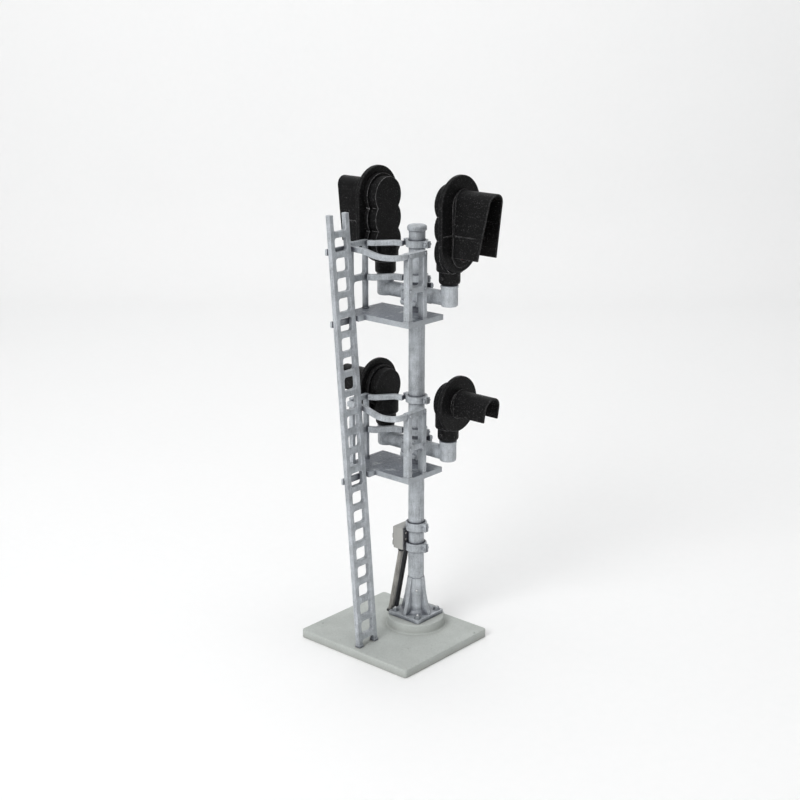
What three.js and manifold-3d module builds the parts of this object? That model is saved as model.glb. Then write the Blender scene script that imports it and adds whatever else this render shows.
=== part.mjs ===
// Two-sided colour-light signal mast for a model railway, HO size, in millimetres with +Z up.
// The four heads look along +X and -X, and the ladder stands on the -Y side. The two platforms
// are the same design at two heights. Every height below is measured from the top of the base
// slab on the mast axis, and the finished group is then lifted by the thickness of the slab, so
// that the origin is on the mast axis in the plane the slab stands on.
import * as THREE from 'three';
import Module from 'manifold-3d';

const wasm = await Module();
wasm.setup();

// ---- driving dimensions -------------------------------------------------------------------
const SLAB = { x: 26.0, y: 23.2, thick: 1.65, cx: -1.2, cy: -4.9, corner: 0.4, bevel: 0.15 };
const PEDESTAL = { radius: 5.45, height: 1.85, fillet: 0.3 };
const FIT = 0.1; // radial clearance of every piece that slips over another
const MAST = { radius: 1.48, top: 75.2 };
const CAP = { lip: 0.27, height: 1.2 };
const FOOT = { side: 7.4, plate: 0.75, wall: 0.27, sleeveTop: 9.0, fin: 0.75, finOut: 3.4, finTop: 9.7 };
const NUT = { across: 1.15, height: 0.7, offset: 2.75 };
const BOX = { outer: -3.8, inner: -1.5, half: 2.15, low: 14.95, high: 19.3, cover: 0.35, gap: 0.15 };
const COLLAR = { wall: 0.42, height: 1.6, lug: 0.65, lugHalf: 0.5, lower: 14.95, upper: 19.0 };
const CONDUIT = { radius: 0.5, top: [-2.85, -0.85], bottom: [-4.65, -2.0], pitch: 1.5 };
const LADDER = { footX: -0.85, lean: -0.079, depth: 0.95, near: -15.35, far: -10.4, top: 79.0 };
const RUNG = { rail: 1.0, height: 1.05, first: 1.8, pitch: 3.51, count: 22, corner: 0.45 };
const LEVELS = { lower: 32.3, upper: 60.8 }; // top of each platform floor
const FLOOR = { west: -9.1, east: 5.45, front: -8.5, back: 0.85, thick: 1.0 };
const TONGUE = { reach: -10.2, west: 1.1, beyond: 0.45, gap: 0.1 };
const TIE = { depth: 0.5, height: 0.9, short: 0.2, drop: 0.45, back: -10.3, railBack: -9.9 };
const RAIL = { width: 0.9, height: 0.95, hoopTop: 12.1, backTop: 12.5, midTop: 6.4, midHeight: 1.1 };
// Y of the hoop rail: its centre line at the west end, and where it stands out furthest.
const HOOP = { start: -9.3, bow: -11.9 };
const POST = { x: 0.9 };
const PANEL = { depth: 1.0, midLow: 5.0, midHigh: 6.05, corner: 0.5 };
const EAST_PANEL = { front: -8.5, back: -3.55, frontPost: 0.95, backPost: 1.15 };
const WEST_PANEL = { front: -8.75, back: -4.2, frontPost: 0.8, backPost: 0.8 };
const CLAMP = { wall: 0.42, height: 1.2, lug: 0.75, lugHalf: 0.5, above: 0.3 };
const ARM = { radius: 1.35, centre: 3.25, gap: 0.14, reach: 7.5 };
const ELBOW = { radius: 1.52, low: 1.95, high: 5.8, bevel: 0.3 };
const SPIGOT = { radius: 0.8, height: 1.3 };
const SADDLE = { half: 1.95, low: 1.2, high: 5.0, thick: 0.65, mastGap: 0.07, armGap: 0.2 };
const BOLT = { radius: 0.45, head: 0.4, inset: 0.6 };
const NECK = { radius: 1.9, tip: 1.6, lift: 0.1, top: 2.5, hub: 2.35, hubTop: 5.4 };
const PLATE = { tall: 5.2, round: 5.05, back: 1.62, front: 2.47 };
const TIER = { mid: 3.9, midBack: 0.8, rear: 3.38, rearBack: -0.75 };
const BEZEL = { radius: 2.6, front: 2.72 };
const LENS = { radius: 1.3, bulge: 0.45 };
const TALL = { plateTop: 14.1, plateBottom: 7.7, lamps: [14.1, 10.0, 5.9] };
const SHORT = { plateTop: 7.2, plateBottom: 7.2, lamps: [7.2] };
const HOOD = { wall: 0.33, ridgeFront: 10.2 };
const TALL_HOOD = { top: 1.95, bottom: 2.7, arch: 14.85, low: 5.4, lowFront: 8.2 };
const SHORT_HOOD = { top: 2.08, bottom: 2.08, arch: 7.66, low: 5.5, lowFront: 9.6 };
const ROUND = 24; // facets of the mast and of everything that fits round it

const mastBore = MAST.radius + FIT;
const sleeveRadius = mastBore + FOOT.wall;
const collarRadius = mastBore + COLLAR.wall;
const clampRadius = mastBore + CLAMP.wall;
const saddleFace = Math.max(MAST.radius + SADDLE.mastGap, ARM.radius + SADDLE.armGap);

// ---- finishes -----------------------------------------------------------------------------
const finish = (colour, roughness, metalness) =>
  new THREE.MeshStandardMaterial({ color: colour, roughness, metalness });
const CONCRETE = () => finish(0xa3aaa2, 0.9, 0.0);
const GREY_PAINT = () => finish(0x9aa0a4, 0.5, 0.35);
const BOX_PAINT = () => finish(0xaeb2ae, 0.6, 0.2);
const BRIGHT_STEEL = () => finish(0xc0c4c6, 0.35, 0.9);
const DARK_PIPE = () => finish(0x3c3f3f, 0.6, 0.3);
const BLACK_PAINT = () => finish(0x101011, 0.45, 0.1);
const LENS_COLOURS = [0x1f9a55, 0xd9a521, 0xb3211c];
const LENS_GLASS = (colour) => finish(colour, 0.08, 0.0);

const model = new THREE.Group();

function part(name, geometry, material) {
  const mesh = new THREE.Mesh(geometry, material);
  mesh.name = name;
  model.add(mesh);
  return mesh;
}

// ---- shape helpers ------------------------------------------------------------------------
function box(x0, x1, y0, y1, z0, z1) {
  const geometry = new THREE.BoxGeometry(x1 - x0, y1 - y0, z1 - z0);
  return geometry.translate((x0 + x1) / 2, (y0 + y1) / 2, (z0 + z1) / 2);
}

function outline(points) {
  return new THREE.Shape(points.map(([x, y]) => new THREE.Vector2(x, y)));
}

function prism(shape, z0, z1) {
  const geometry = new THREE.ExtrudeGeometry(shape, { depth: z1 - z0, bevelEnabled: false });
  return geometry.translate(0, 0, z0);
}

function post(radius, z0, z1, x = 0, y = 0, facets = ROUND) {
  const geometry = new THREE.CylinderGeometry(radius, radius, z1 - z0, facets);
  return geometry.rotateX(Math.PI / 2).translate(x, y, (z0 + z1) / 2);
}

// Turns a profile of [radius, height] pairs about the vertical through the origin.
function turned(profile, facets = ROUND) {
  const points = profile.map(([r, z]) => new THREE.Vector2(r, z));
  return new THREE.LatheGeometry(points, facets).rotateX(Math.PI / 2);
}

// A cylinder along X between two X positions.
function bar(radius, x0, x1, y, z, facets = ROUND) {
  const geometry = new THREE.CylinderGeometry(radius, radius, x1 - x0, facets);
  return geometry.rotateZ(-Math.PI / 2).translate((x0 + x1) / 2, y, z);
}

// Points of an arc about (cx, cy) from angle a0 to a1, in degrees.
function arc(cx, cy, radius, a0, a1, steps) {
  const points = [];
  for (let i = 0; i <= steps; i += 1) {
    const a = THREE.MathUtils.degToRad(a0 + ((a1 - a0) * i) / steps);
    points.push([cx + radius * Math.cos(a), cy + radius * Math.sin(a)]);
  }
  return points;
}

function roundedRect(x0, x1, y0, y1, r, steps = 2) {
  return [
    ...arc(x1 - r, y0 + r, r, -90, 0, steps),
    ...arc(x1 - r, y1 - r, r, 0, 90, steps),
    ...arc(x0 + r, y1 - r, r, 90, 180, steps),
    ...arc(x0 + r, y0 + r, r, 180, 270, steps),
  ];
}

// The closed outline of a strip of constant width along a path in plan.
function strip(path, width) {
  const left = [];
  const right = [];
  path.forEach(([x, y], i) => {
    const before = path[Math.max(i - 1, 0)];
    const after = path[Math.min(i + 1, path.length - 1)];
    const into = new THREE.Vector2(x - before[0], y - before[1]).normalize();
    const out = new THREE.Vector2(after[0] - x, after[1] - y).normalize();
    const along = into.clone().add(out).normalize();
    const lone = i === 0 ? out : into;
    const half = width / 2 / Math.max(along.dot(lone), 0.6);
    left.push([x - along.y * half, y + along.x * half]);
    right.push([x + along.y * half, y - along.x * half]);
  });
  return outline([...right, ...left.reverse()]);
}

function smooth(points, steps) {
  const curve = new THREE.SplineCurve(points.map(([x, y]) => new THREE.Vector2(x, y)));
  return curve.getPoints(steps).map((p) => [p.x, p.y]);
}

// Stands a prism drawn in plan on its edge: its outline goes to YZ and its depth along +X.
function upright(geometry) {
  return geometry.applyMatrix4(
    new THREE.Matrix4().set(0, 0, 1, 0, 1, 0, 0, 0, 0, 1, 0, 0, 0, 0, 0, 1));
}

// Leans an upright piece: X and Y move with height, so level faces stay level.
function leaned(geometry, slopeX, slopeY = 0) {
  const matrix = new THREE.Matrix4().set(1, 0, slopeX, 0, 0, 1, slopeY, 0, 0, 0, 1, 0, 0, 0, 0, 1);
  return geometry.applyMatrix4(matrix);
}

// The plan of a band round the mast, with a lug along +X and, if it has two, another along -X.
function mastBand(radius, lug, lugHalf, lugs) {
  const lugEnd = (side) => [
    [side * (radius + lug), -side * lugHalf],
    [side * (radius + lug), side * lugHalf],
  ];
  const edge = THREE.MathUtils.radToDeg(Math.asin(lugHalf / radius));
  const band = lugs === 2
    ? outline([
      ...lugEnd(1),
      ...arc(0, 0, radius, edge, 180 - edge, 12),
      ...lugEnd(-1),
      ...arc(0, 0, radius, 180 + edge, 360 - edge, 12),
    ])
    : outline([...lugEnd(1), ...arc(0, 0, radius, edge, 360 - edge, 24)]);
  const inside = arc(0, 0, mastBore, 0, 360 - 360 / ROUND, ROUND - 1);
  band.holes.push(new THREE.Path(inside.map(([x, y]) => new THREE.Vector2(x, y))));
  return band;
}

// ---- solid combination --------------------------------------------------------------------
function weld(geometry, tolerance = 1e-4) {
  const source = geometry.index ? geometry.toNonIndexed() : geometry;
  const position = source.getAttribute('position');
  const seen = new Map();
  const vertices = [];
  const triangles = [];
  for (let i = 0; i < position.count; i += 3) {
    const corners = [];
    for (let k = 0; k < 3; k += 1) {
      const p = [position.getX(i + k), position.getY(i + k), position.getZ(i + k)];
      const key = p.map((value) => Math.round(value / tolerance)).join(',');
      if (!seen.has(key)) {
        seen.set(key, vertices.length / 3);
        vertices.push(...p);
      }
      corners.push(seen.get(key));
    }
    const flat = corners[0] === corners[1] || corners[1] === corners[2] || corners[0] === corners[2];
    if (!flat) {
      triangles.push(...corners);
    }
  }
  return { vertices, triangles };
}

function solid(geometry) {
  const { vertices, triangles } = weld(geometry);
  const vertProperties = Float32Array.from(vertices);
  const triVerts = Uint32Array.from(triangles);
  return new wasm.Manifold(new wasm.Mesh({ numProp: 3, vertProperties, triVerts }));
}

function geometryOf(manifold) {
  const mesh = manifold.getMesh();
  const geometry = new THREE.BufferGeometry();
  geometry.setAttribute('position', new THREE.BufferAttribute(mesh.vertProperties, 3));
  geometry.setIndex(new THREE.BufferAttribute(mesh.triVerts, 1));
  return geometry;
}

function joined(...geometries) {
  return geometries.map(solid).reduce((whole, piece) => whole.add(piece));
}

// ---- base slab with its round pedestal ----------------------------------------------------
{
  const { x, y, thick, cx, cy, corner, bevel } = SLAB;
  const inner = roundedRect(
    cx - x / 2 + bevel, cx + x / 2 - bevel, cy - y / 2 + bevel, cy + y / 2 - bevel, corner, 3);
  const slab = new THREE.ExtrudeGeometry(outline(inner), {
    depth: thick - 2 * bevel,
    bevelEnabled: true,
    bevelThickness: bevel,
    bevelSize: bevel,
    bevelSegments: 1,
  });
  slab.translate(0, 0, bevel - thick);
  const { radius, height, fillet } = PEDESTAL;
  const pedestal = turned([
    [0, -0.5],
    [radius + fillet, -0.5],
    [radius + fillet, 0],
    [radius + fillet * 0.3, fillet * 0.3],
    [radius, fillet],
    [radius - 0.08, height - 0.15],
    [radius - 0.25, height],
    [0, height],
  ], 40);
  part('base_slab', geometryOf(joined(slab, pedestal)), CONCRETE());
}

// ---- mast foot, anchor nuts, mast and cap -------------------------------------------------
const footTop = PEDESTAL.height + FOOT.plate;
{
  const half = FOOT.side / 2;
  const plate = box(-half, half, -half, half, PEDESTAL.height, footTop);
  const sleeve = turned([
    [0, footTop - 0.2],
    [sleeveRadius + 0.4, footTop - 0.2],
    [sleeveRadius + 0.4, footTop],
    [sleeveRadius, footTop + 0.6],
    [sleeveRadius, FOOT.sleeveTop - 0.3],
    [sleeveRadius - 0.15, FOOT.sleeveTop],
    [0, FOOT.sleeveTop],
  ]);
  const fin = outline([
    [0, footTop - 0.2],
    [FOOT.finOut, footTop - 0.2],
    [FOOT.finOut, footTop + 0.35],
    [mastBore + 0.15, FOOT.finTop],
    [0, FOOT.finTop],
  ]);
  const fins = [0, 1, 2, 3].map((quarter) => {
    const web = prism(fin, -FOOT.fin / 2, FOOT.fin / 2).rotateX(Math.PI / 2);
    return web.rotateZ((quarter * Math.PI) / 2);
  });
  const bore = post(mastBore, footTop, FOOT.finTop + 1);
  const casting = joined(plate, sleeve, ...fins).subtract(solid(bore));
  part('mast_foot', geometryOf(casting), GREY_PAINT());
}
[[1, 1], [-1, 1], [-1, -1], [1, -1]].forEach(([sx, sy], i) => {
  const nut = post(NUT.across / 2, footTop, footTop + NUT.height, sx * NUT.offset, sy * NUT.offset, 6);
  part(`anchor_nut_${i + 1}`, nut, BRIGHT_STEEL());
});
part('mast_tube', post(MAST.radius, footTop, MAST.top), GREY_PAINT());
part('mast_cap', turned([
  [0, MAST.top],
  [MAST.radius, MAST.top],
  [MAST.radius + CAP.lip, MAST.top + 0.25],
  [MAST.radius + CAP.lip, MAST.top + CAP.height - 0.35],
  [MAST.radius + CAP.lip - 0.3, MAST.top + CAP.height - 0.05],
  [0, MAST.top + CAP.height],
]), GREY_PAINT());

// ---- junction box, its collars and its two conduits ---------------------------------------
{
  const clear = collarRadius + BOX.gap;
  const edge = (Math.acos(-BOX.inner / clear) * 180) / Math.PI;
  const body = outline([
    [BOX.inner, BOX.half],
    [BOX.outer, BOX.half],
    [BOX.outer, -BOX.half],
    [BOX.inner, -BOX.half],
    ...arc(0, 0, clear, 180 + edge, 180 - edge, 8),
  ]);
  part('junction_box', prism(body, BOX.low, BOX.high), BOX_PAINT());
  const rim = 0.3;
  const lid = prism(
    outline(roundedRect(-BOX.half + rim, BOX.half - rim, BOX.low + rim, BOX.high - rim, 0.3)),
    0, BOX.cover);
  lid.applyMatrix4(new THREE.Matrix4().set(0, 0, -1, BOX.outer, -1, 0, 0, 0, 0, 1, 0, 0, 0, 0, 0, 1));
  part('junction_cover', lid, BOX_PAINT());
}
for (const [name, z] of [['lower', COLLAR.lower], ['upper', COLLAR.upper]]) {
  const band = mastBand(collarRadius, COLLAR.lug, COLLAR.lugHalf, 1);
  part(`box_collar_${name}`, prism(band, z, z + COLLAR.height), GREY_PAINT());
}
for (const [name, shift] of [['front', 0], ['rear', CONDUIT.pitch]]) {
  const drop = BOX.low - PEDESTAL.height;
  const slopeX = (CONDUIT.top[0] - CONDUIT.bottom[0]) / drop;
  const slopeY = (CONDUIT.top[1] - CONDUIT.bottom[1]) / drop;
  const pipe = leaned(post(CONDUIT.radius, 0, drop, 0, 0, 12), slopeX, slopeY);
  pipe.translate(CONDUIT.bottom[0], CONDUIT.bottom[1] + shift, PEDESTAL.height);
  part(`conduit_${name}`, pipe, DARK_PIPE());
}

// ---- leaning ladder -----------------------------------------------------------------------
const ladderX = (z) => LADDER.footX + LADDER.lean * z;
{
  const { near, far, top, depth } = LADDER;
  const { rail, height, first, pitch, count, corner } = RUNG;
  const lastTop = first + (count - 1) * pitch + height / 2;
  const side = outline([
    [near, 0],
    [near + rail, 0],
    [near + rail, first - height / 2],
    [far - rail, first - height / 2],
    [far - rail, 0],
    [far, 0],
    [far, top],
    [far - rail, top],
    [far - rail, lastTop],
    [near + rail, lastTop],
    [near + rail, top],
    [near, top],
  ]);
  for (let i = 0; i + 1 < count; i += 1) {
    const z0 = first + i * pitch + height / 2;
    const gap = roundedRect(near + rail, far - rail, z0, z0 + pitch - height, corner);
    side.holes.push(new THREE.Path(gap.map(([y, z]) => new THREE.Vector2(y, z))));
  }
  const flat = upright(prism(side, -depth / 2, depth / 2));
  part('ladder', leaned(flat, LADDER.lean).translate(LADDER.footX, 0, 0), GREY_PAINT());
}

// ---- platforms ----------------------------------------------------------------------------
const westRailX = FLOOR.west + 0.85;
const eastRailX = FLOOR.east - PANEL.depth / 2;

// An upright frame in the YZ plane: two posts, a top bar and a middle bar, open at the foot.
function railPanel({ front, back, frontPost, backPost }, depth, top, barHeight, midLow, midHigh) {
  const y0 = front + frontPost;
  const y1 = back - backPost;
  const frame = outline([
    [front, 0],
    [y0, 0],
    ...arc(y0 + PANEL.corner, midLow - PANEL.corner, PANEL.corner, 180, 90, 3),
    ...arc(y1 - PANEL.corner, midLow - PANEL.corner, PANEL.corner, 90, 0, 3),
    [y1, 0],
    [back, 0],
    [back, top],
    [front, top],
  ]);
  const gap = roundedRect(y0, y1, midHigh, top - barHeight, PANEL.corner);
  frame.holes.push(new THREE.Path(gap.map(([y, z]) => new THREE.Vector2(y, z))));
  return upright(prism(frame, -depth / 2, depth / 2));
}

// A bar along Y just behind the ladder, its top face at the given height.
function ladderTie(high, back) {
  const reach = ladderX(high) - LADDER.depth / 2 - TONGUE.gap;
  return box(reach - TIE.depth, reach, LADDER.near + TIE.short, back, high - TIE.height, high);
}

function addPlatform(level, floorTop) {
  const behind = ladderX(floorTop - FLOOR.thick) - LADDER.depth / 2 - TONGUE.gap;
  const tongueEast = ladderX(floorTop) + LADDER.depth / 2 + TONGUE.beyond;
  const mouth = (Math.asin(FLOOR.back / mastBore) * 180) / Math.PI;
  const deck = outline([
    [FLOOR.west, FLOOR.back],
    [FLOOR.west, FLOOR.front],
    [behind - TONGUE.west, FLOOR.front],
    [behind - TONGUE.west, TONGUE.reach],
    [tongueEast, TONGUE.reach],
    [tongueEast, FLOOR.front],
    [FLOOR.east, FLOOR.front],
    [FLOOR.east, FLOOR.back],
    ...arc(0, 0, mastBore, mouth, -180 - mouth, 16),
  ]);
  part(`floor_${level}`, prism(deck, floorTop - FLOOR.thick, floorTop), GREY_PAINT());
  part(`ladder_tie_${level}`, ladderTie(floorTop - TIE.drop, TIE.back), GREY_PAINT());

  const west = railPanel(
    WEST_PANEL, POST.x, RAIL.backTop, RAIL.height, RAIL.midTop - RAIL.midHeight, RAIL.midTop);
  part(`west_panel_${level}`, west.translate(westRailX, 0, floorTop), GREY_PAINT());
  const east = railPanel(
    EAST_PANEL, PANEL.depth, RAIL.hoopTop, RAIL.height, PANEL.midLow, PANEL.midHigh);
  part(`east_panel_${level}`, east.translate(eastRailX, 0, floorTop), GREY_PAINT());

  const hoop = smooth([
    [westRailX, HOOP.start],
    [-6.0, HOOP.start - 0.05],
    [-3.9, HOOP.start - 0.35],
    [-1.5, HOOP.bow + 1.25],
    [0.5, HOOP.bow + 0.4],
    [2.4, HOOP.bow],
    [4.1, HOOP.bow + 0.5],
    [4.9, HOOP.bow + 1.6],
    [eastRailX, EAST_PANEL.front - 0.05],
  ], 20);
  const hoopTop = floorTop + RAIL.hoopTop;
  part(`hoop_rail_${level}`, prism(strip(hoop, RAIL.width), hoopTop - RAIL.height, hoopTop), GREY_PAINT());

  const run = [
    [-7.45, -4.85],
    [-6.3, -4.35],
    [-4.0, -1.5],
    [-clampRadius - 0.25, -1.1],
  ];
  const heights = [['back', RAIL.backTop, RAIL.height], ['mid', RAIL.midTop, RAIL.midHeight]];
  for (const [name, top, tall] of heights) {
    const high = floorTop + top;
    part(`${name}_rail_${level}`, prism(strip(run, RAIL.width), high - tall, high), GREY_PAINT());
    const clampTop = high + CLAMP.above;
    const band = mastBand(clampRadius, CLAMP.lug, CLAMP.lugHalf, 2);
    part(`${name}_clamp_${level}`, prism(band, clampTop - CLAMP.height, clampTop), GREY_PAINT());
  }
}

for (const [level, floorTop] of Object.entries(LEVELS)) {
  addPlatform(level, floorTop);
}
part('ladder_tie_rail', ladderTie(LEVELS.upper + RAIL.hoopTop + FIT, TIE.railBack), GREY_PAINT());

// ---- head brackets ------------------------------------------------------------------------
function addBracket(level, floorTop) {
  const low = floorTop + SADDLE.low;
  const high = floorTop + SADDLE.high;
  for (const [name, side] of [['front', -1], ['rear', 1]]) {
    const inner = saddleFace;
    const outer = inner + SADDLE.thick;
    const plate = side < 0
      ? box(-SADDLE.half, SADDLE.half, -outer, -inner, low, high)
      : box(-SADDLE.half, SADDLE.half, inner, outer, low, high);
    const heads = [];
    for (const sx of [-1, 1]) {
      for (const z of [low + BOLT.inset, high - BOLT.inset]) {
        const head = post(BOLT.radius, 0, BOLT.head + 0.2, 0, 0, 8).rotateX(Math.PI / 2);
        const y = side < 0 ? -outer + 0.2 : outer + BOLT.head;
        heads.push(head.translate(sx * (SADDLE.half - BOLT.inset), y, z));
      }
    }
    part(`bracket_${name}_${level}`, geometryOf(joined(plate, ...heads)), GREY_PAINT());
  }
  for (const [name, side] of [['east', 1], ['west', -1]]) {
    const centre = floorTop + ARM.centre;
    const pipe = bar(ARM.radius, MAST.radius + ARM.gap, ARM.reach, 0, centre);
    const elbow = turned([
      [0, floorTop + ELBOW.low],
      [ELBOW.radius - ELBOW.bevel, floorTop + ELBOW.low],
      [ELBOW.radius, floorTop + ELBOW.low + ELBOW.bevel],
      [ELBOW.radius, floorTop + ELBOW.high],
      [SPIGOT.radius, floorTop + ELBOW.high],
      [SPIGOT.radius, floorTop + ELBOW.high + SPIGOT.height],
      [0, floorTop + ELBOW.high + SPIGOT.height],
    ]).translate(ARM.reach, 0, 0);
    const arm = geometryOf(joined(pipe, elbow));
    if (side < 0) {
      arm.rotateZ(Math.PI);
    }
    part(`arm_${name}_${level}`, arm, GREY_PAINT());
  }
}

for (const [level, floorTop] of Object.entries(LEVELS)) {
  addBracket(level, floorTop);
}

// ---- signal heads -------------------------------------------------------------------------
// Each head is drawn looking along +X about its own swivel axis, with height 0 at the elbow top.
function lobed(radius, heights, x0, x1) {
  const discs = heights.map((h) => solid(bar(radius, x0, x1, 0, h, 32)));
  return discs.reduce((whole, disc) => whole.add(disc));
}

function obround(radius, low, high, x0, x1) {
  const shape = outline([
    ...arc(0, high, radius, 0, 180, 16),
    ...arc(0, low, radius, 180, 360, 16),
  ]);
  return upright(prism(shape, x0, x1));
}

function headBody(style, plateRadius) {
  const lamps = style.lamps;
  const lowLamp = lamps[lamps.length - 1];
  const plate = solid(obround(plateRadius, style.plateBottom, style.plateTop, PLATE.back, PLATE.front));
  const bezel = solid(obround(BEZEL.radius, lowLamp, lamps[0], PLATE.front - 0.2, BEZEL.front));
  const mid = lobed(TIER.mid, lamps, TIER.midBack, PLATE.back + 0.2);
  const rear = lobed(TIER.rear, lamps, TIER.rearBack, TIER.midBack + 0.2);
  const neck = solid(turned([
    [0, NECK.lift],
    [NECK.tip, NECK.lift],
    [NECK.radius, NECK.lift + 0.5],
    [NECK.radius, NECK.top - 0.3],
    [NECK.hub, NECK.top],
    [NECK.hub, NECK.hubTop],
    [0, NECK.hubTop],
  ]));
  const trim = solid(box(-4, PLATE.back + 0.3, -4, 4, -1, NECK.hubTop + 1));
  const bore = solid(post(SPIGOT.radius + FIT, -1, SPIGOT.height + 0.15));
  const body = plate.add(bezel).add(mid).add(rear).add(neck.intersect(trim));
  return body.subtract(bore);
}

function hood(form) {
  const shell = [
    ...arc(0, form.arch, form.top, 180, 0, 14),
    [form.bottom, form.low],
    [form.bottom - HOOD.wall, form.low],
    ...arc(0, form.arch, form.top - HOOD.wall, 0, 180, 14),
    [-form.bottom + HOOD.wall, form.low],
    [-form.bottom, form.low],
  ];
  const tunnel = upright(prism(outline(shell), BEZEL.front, HOOD.ridgeFront));
  const position = tunnel.getAttribute('position');
  const ridge = form.arch + form.top;
  for (let i = 0; i < position.count; i += 1) {
    if (position.getX(i) > BEZEL.front + 0.01) {
      const share = (ridge - position.getZ(i)) / (ridge - form.low);
      position.setX(i, HOOD.ridgeFront - (HOOD.ridgeFront - form.lowFront) * share);
    }
  }
  return tunnel;
}

function lens(height) {
  const dome = turned([
    [0, 0],
    [LENS.radius, 0],
    [LENS.radius, 0.1],
    [LENS.radius * 0.8, LENS.bulge * 0.6],
    [LENS.radius * 0.42, LENS.bulge * 0.92],
    [0, LENS.bulge],
  ], 20);
  return dome.rotateY(Math.PI / 2).translate(BEZEL.front, 0, height);
}

function addHead(name, side, elbowTop, style, form, colours) {
  const place = (geometry) => {
    const facing = side < 0 ? geometry.rotateZ(Math.PI) : geometry;
    return facing.translate(side * ARM.reach, 0, elbowTop);
  };
  const plateRadius = style === TALL ? PLATE.tall : PLATE.round;
  part(`head_${name}`, place(geometryOf(headBody(style, plateRadius))), BLACK_PAINT());
  part(`hood_${name}`, place(hood(form)), BLACK_PAINT());
  style.lamps.forEach((height, i) => {
    part(`lens_${name}_${i + 1}`, place(lens(height)), LENS_GLASS(colours[i]));
  });
}

for (const [facing, side] of [['east', 1], ['west', -1]]) {
  const upper = LEVELS.upper + ELBOW.high;
  const lower = LEVELS.lower + ELBOW.high;
  addHead(`upper_${facing}`, side, upper, TALL, TALL_HOOD, LENS_COLOURS);
  addHead(`lower_${facing}`, side, lower, SHORT, SHORT_HOOD, [LENS_COLOURS[2]]);
}

model.position.z = SLAB.thick;

export default model;
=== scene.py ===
"""Looks for the two-sided colour-light signal mast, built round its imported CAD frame.

Every piece is modelled in millimetres, in the frame's own axes, and is brought to metres when
it is finished. The mast stands on the z axis, the heads look along +X and -X, and the ladder
leans on the -Y side.
"""
import logging
import math
from collections.abc import Callable, Iterator, Sequence
from contextlib import contextmanager
from dataclasses import dataclass
from enum import Enum

import bmesh
import bpy
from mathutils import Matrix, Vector


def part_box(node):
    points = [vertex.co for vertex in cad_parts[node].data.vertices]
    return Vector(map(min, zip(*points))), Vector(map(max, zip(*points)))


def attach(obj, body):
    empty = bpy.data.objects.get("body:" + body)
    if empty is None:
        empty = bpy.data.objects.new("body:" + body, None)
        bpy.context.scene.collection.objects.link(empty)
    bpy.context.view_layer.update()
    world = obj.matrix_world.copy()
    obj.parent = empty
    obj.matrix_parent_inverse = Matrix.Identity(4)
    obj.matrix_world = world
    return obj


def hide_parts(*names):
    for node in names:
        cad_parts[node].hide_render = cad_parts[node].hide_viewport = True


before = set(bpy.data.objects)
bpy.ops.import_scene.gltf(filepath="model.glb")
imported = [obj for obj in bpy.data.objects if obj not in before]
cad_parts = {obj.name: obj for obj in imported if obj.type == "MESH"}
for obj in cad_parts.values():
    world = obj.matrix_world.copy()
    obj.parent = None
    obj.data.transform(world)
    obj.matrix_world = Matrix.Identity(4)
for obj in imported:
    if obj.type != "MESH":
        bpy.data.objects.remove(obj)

log = logging.getLogger("signal_mast")

MM = 0.001
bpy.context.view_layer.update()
MAST_BODY = "mast"
SLAB_THICK = 1.65  # of the concrete slab that the mast and the ladder stand on
MERGE_GAP = 0.0005  # corners of a node that are closer than this are one
TONE_RANGE = (0.3, 0.7)  # where nearly all of the grain's values lie
Point = tuple[float, float, float]
Colour = tuple[float, float, float]


class Level(Enum):
    """The two platforms, named as their CAD nodes are."""

    LOWER = "lower"
    UPPER = "upper"


class Side(Enum):
    """The way a head looks, named as its CAD nodes are."""

    EAST = "east"
    WEST = "west"

    @property
    def sign(self) -> int:
        """1 for a head that looks along +X and -1 for one that looks along -X."""
        return 1 if self is Side.EAST else -1


class Pick(Enum):
    """What an edit-mode selection is made of."""

    FACES = "FACE"
    EDGES = "EDGE"
    VERTS = "VERT"


# ---------------------------------------------------------------------------- the workbench
@dataclass(frozen=True)
class Span:
    """A box in millimetres, from its lowest corner to its highest."""

    low: Vector
    high: Vector

    @property
    def centre(self) -> Vector:
        """The middle of the box."""
        return (self.low + self.high) / 2

    @property
    def size(self) -> Vector:
        """The length of each side."""
        return self.high - self.low


def span_of(node: str) -> Span:
    """The box of a CAD node.

    Args:
        node: The node's name.

    Returns:
        Its box in millimetres.
    """
    low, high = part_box(node)
    return Span(low / MM, high / MM)


def pick(*pieces: bpy.types.Object) -> None:
    """Select only these pieces, with the first one active.

    Args:
        pieces: The pieces to select.
    """
    for other in list(bpy.context.selected_objects):
        other.select_set(False)
    for piece in pieces:
        piece.select_set(True)
    bpy.context.view_layer.objects.active = pieces[0]


def applied(piece: bpy.types.Object) -> bpy.types.Object:
    """Bring a piece's place, turn and scale into its mesh.

    Args:
        piece: The piece.

    Returns:
        The same piece, still selected.
    """
    pick(piece)
    bpy.ops.object.transform_apply(location=True, rotation=True, scale=True)
    return piece


@contextmanager
def shaping(piece: bpy.types.Object, kind: Pick = Pick.FACES) -> Iterator[None]:
    """Open a piece in edit mode with everything selected.

    Args:
        piece: The piece to shape.
        kind: What the selections inside are made of.

    Returns:
        A context that goes back to object mode at its end.
    """
    pick(piece)
    bpy.ops.object.mode_set(mode="EDIT")
    bpy.ops.mesh.select_mode(type=kind.value)
    bpy.ops.mesh.select_all(action="SELECT")
    yield
    bpy.ops.object.mode_set(mode="OBJECT")


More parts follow.
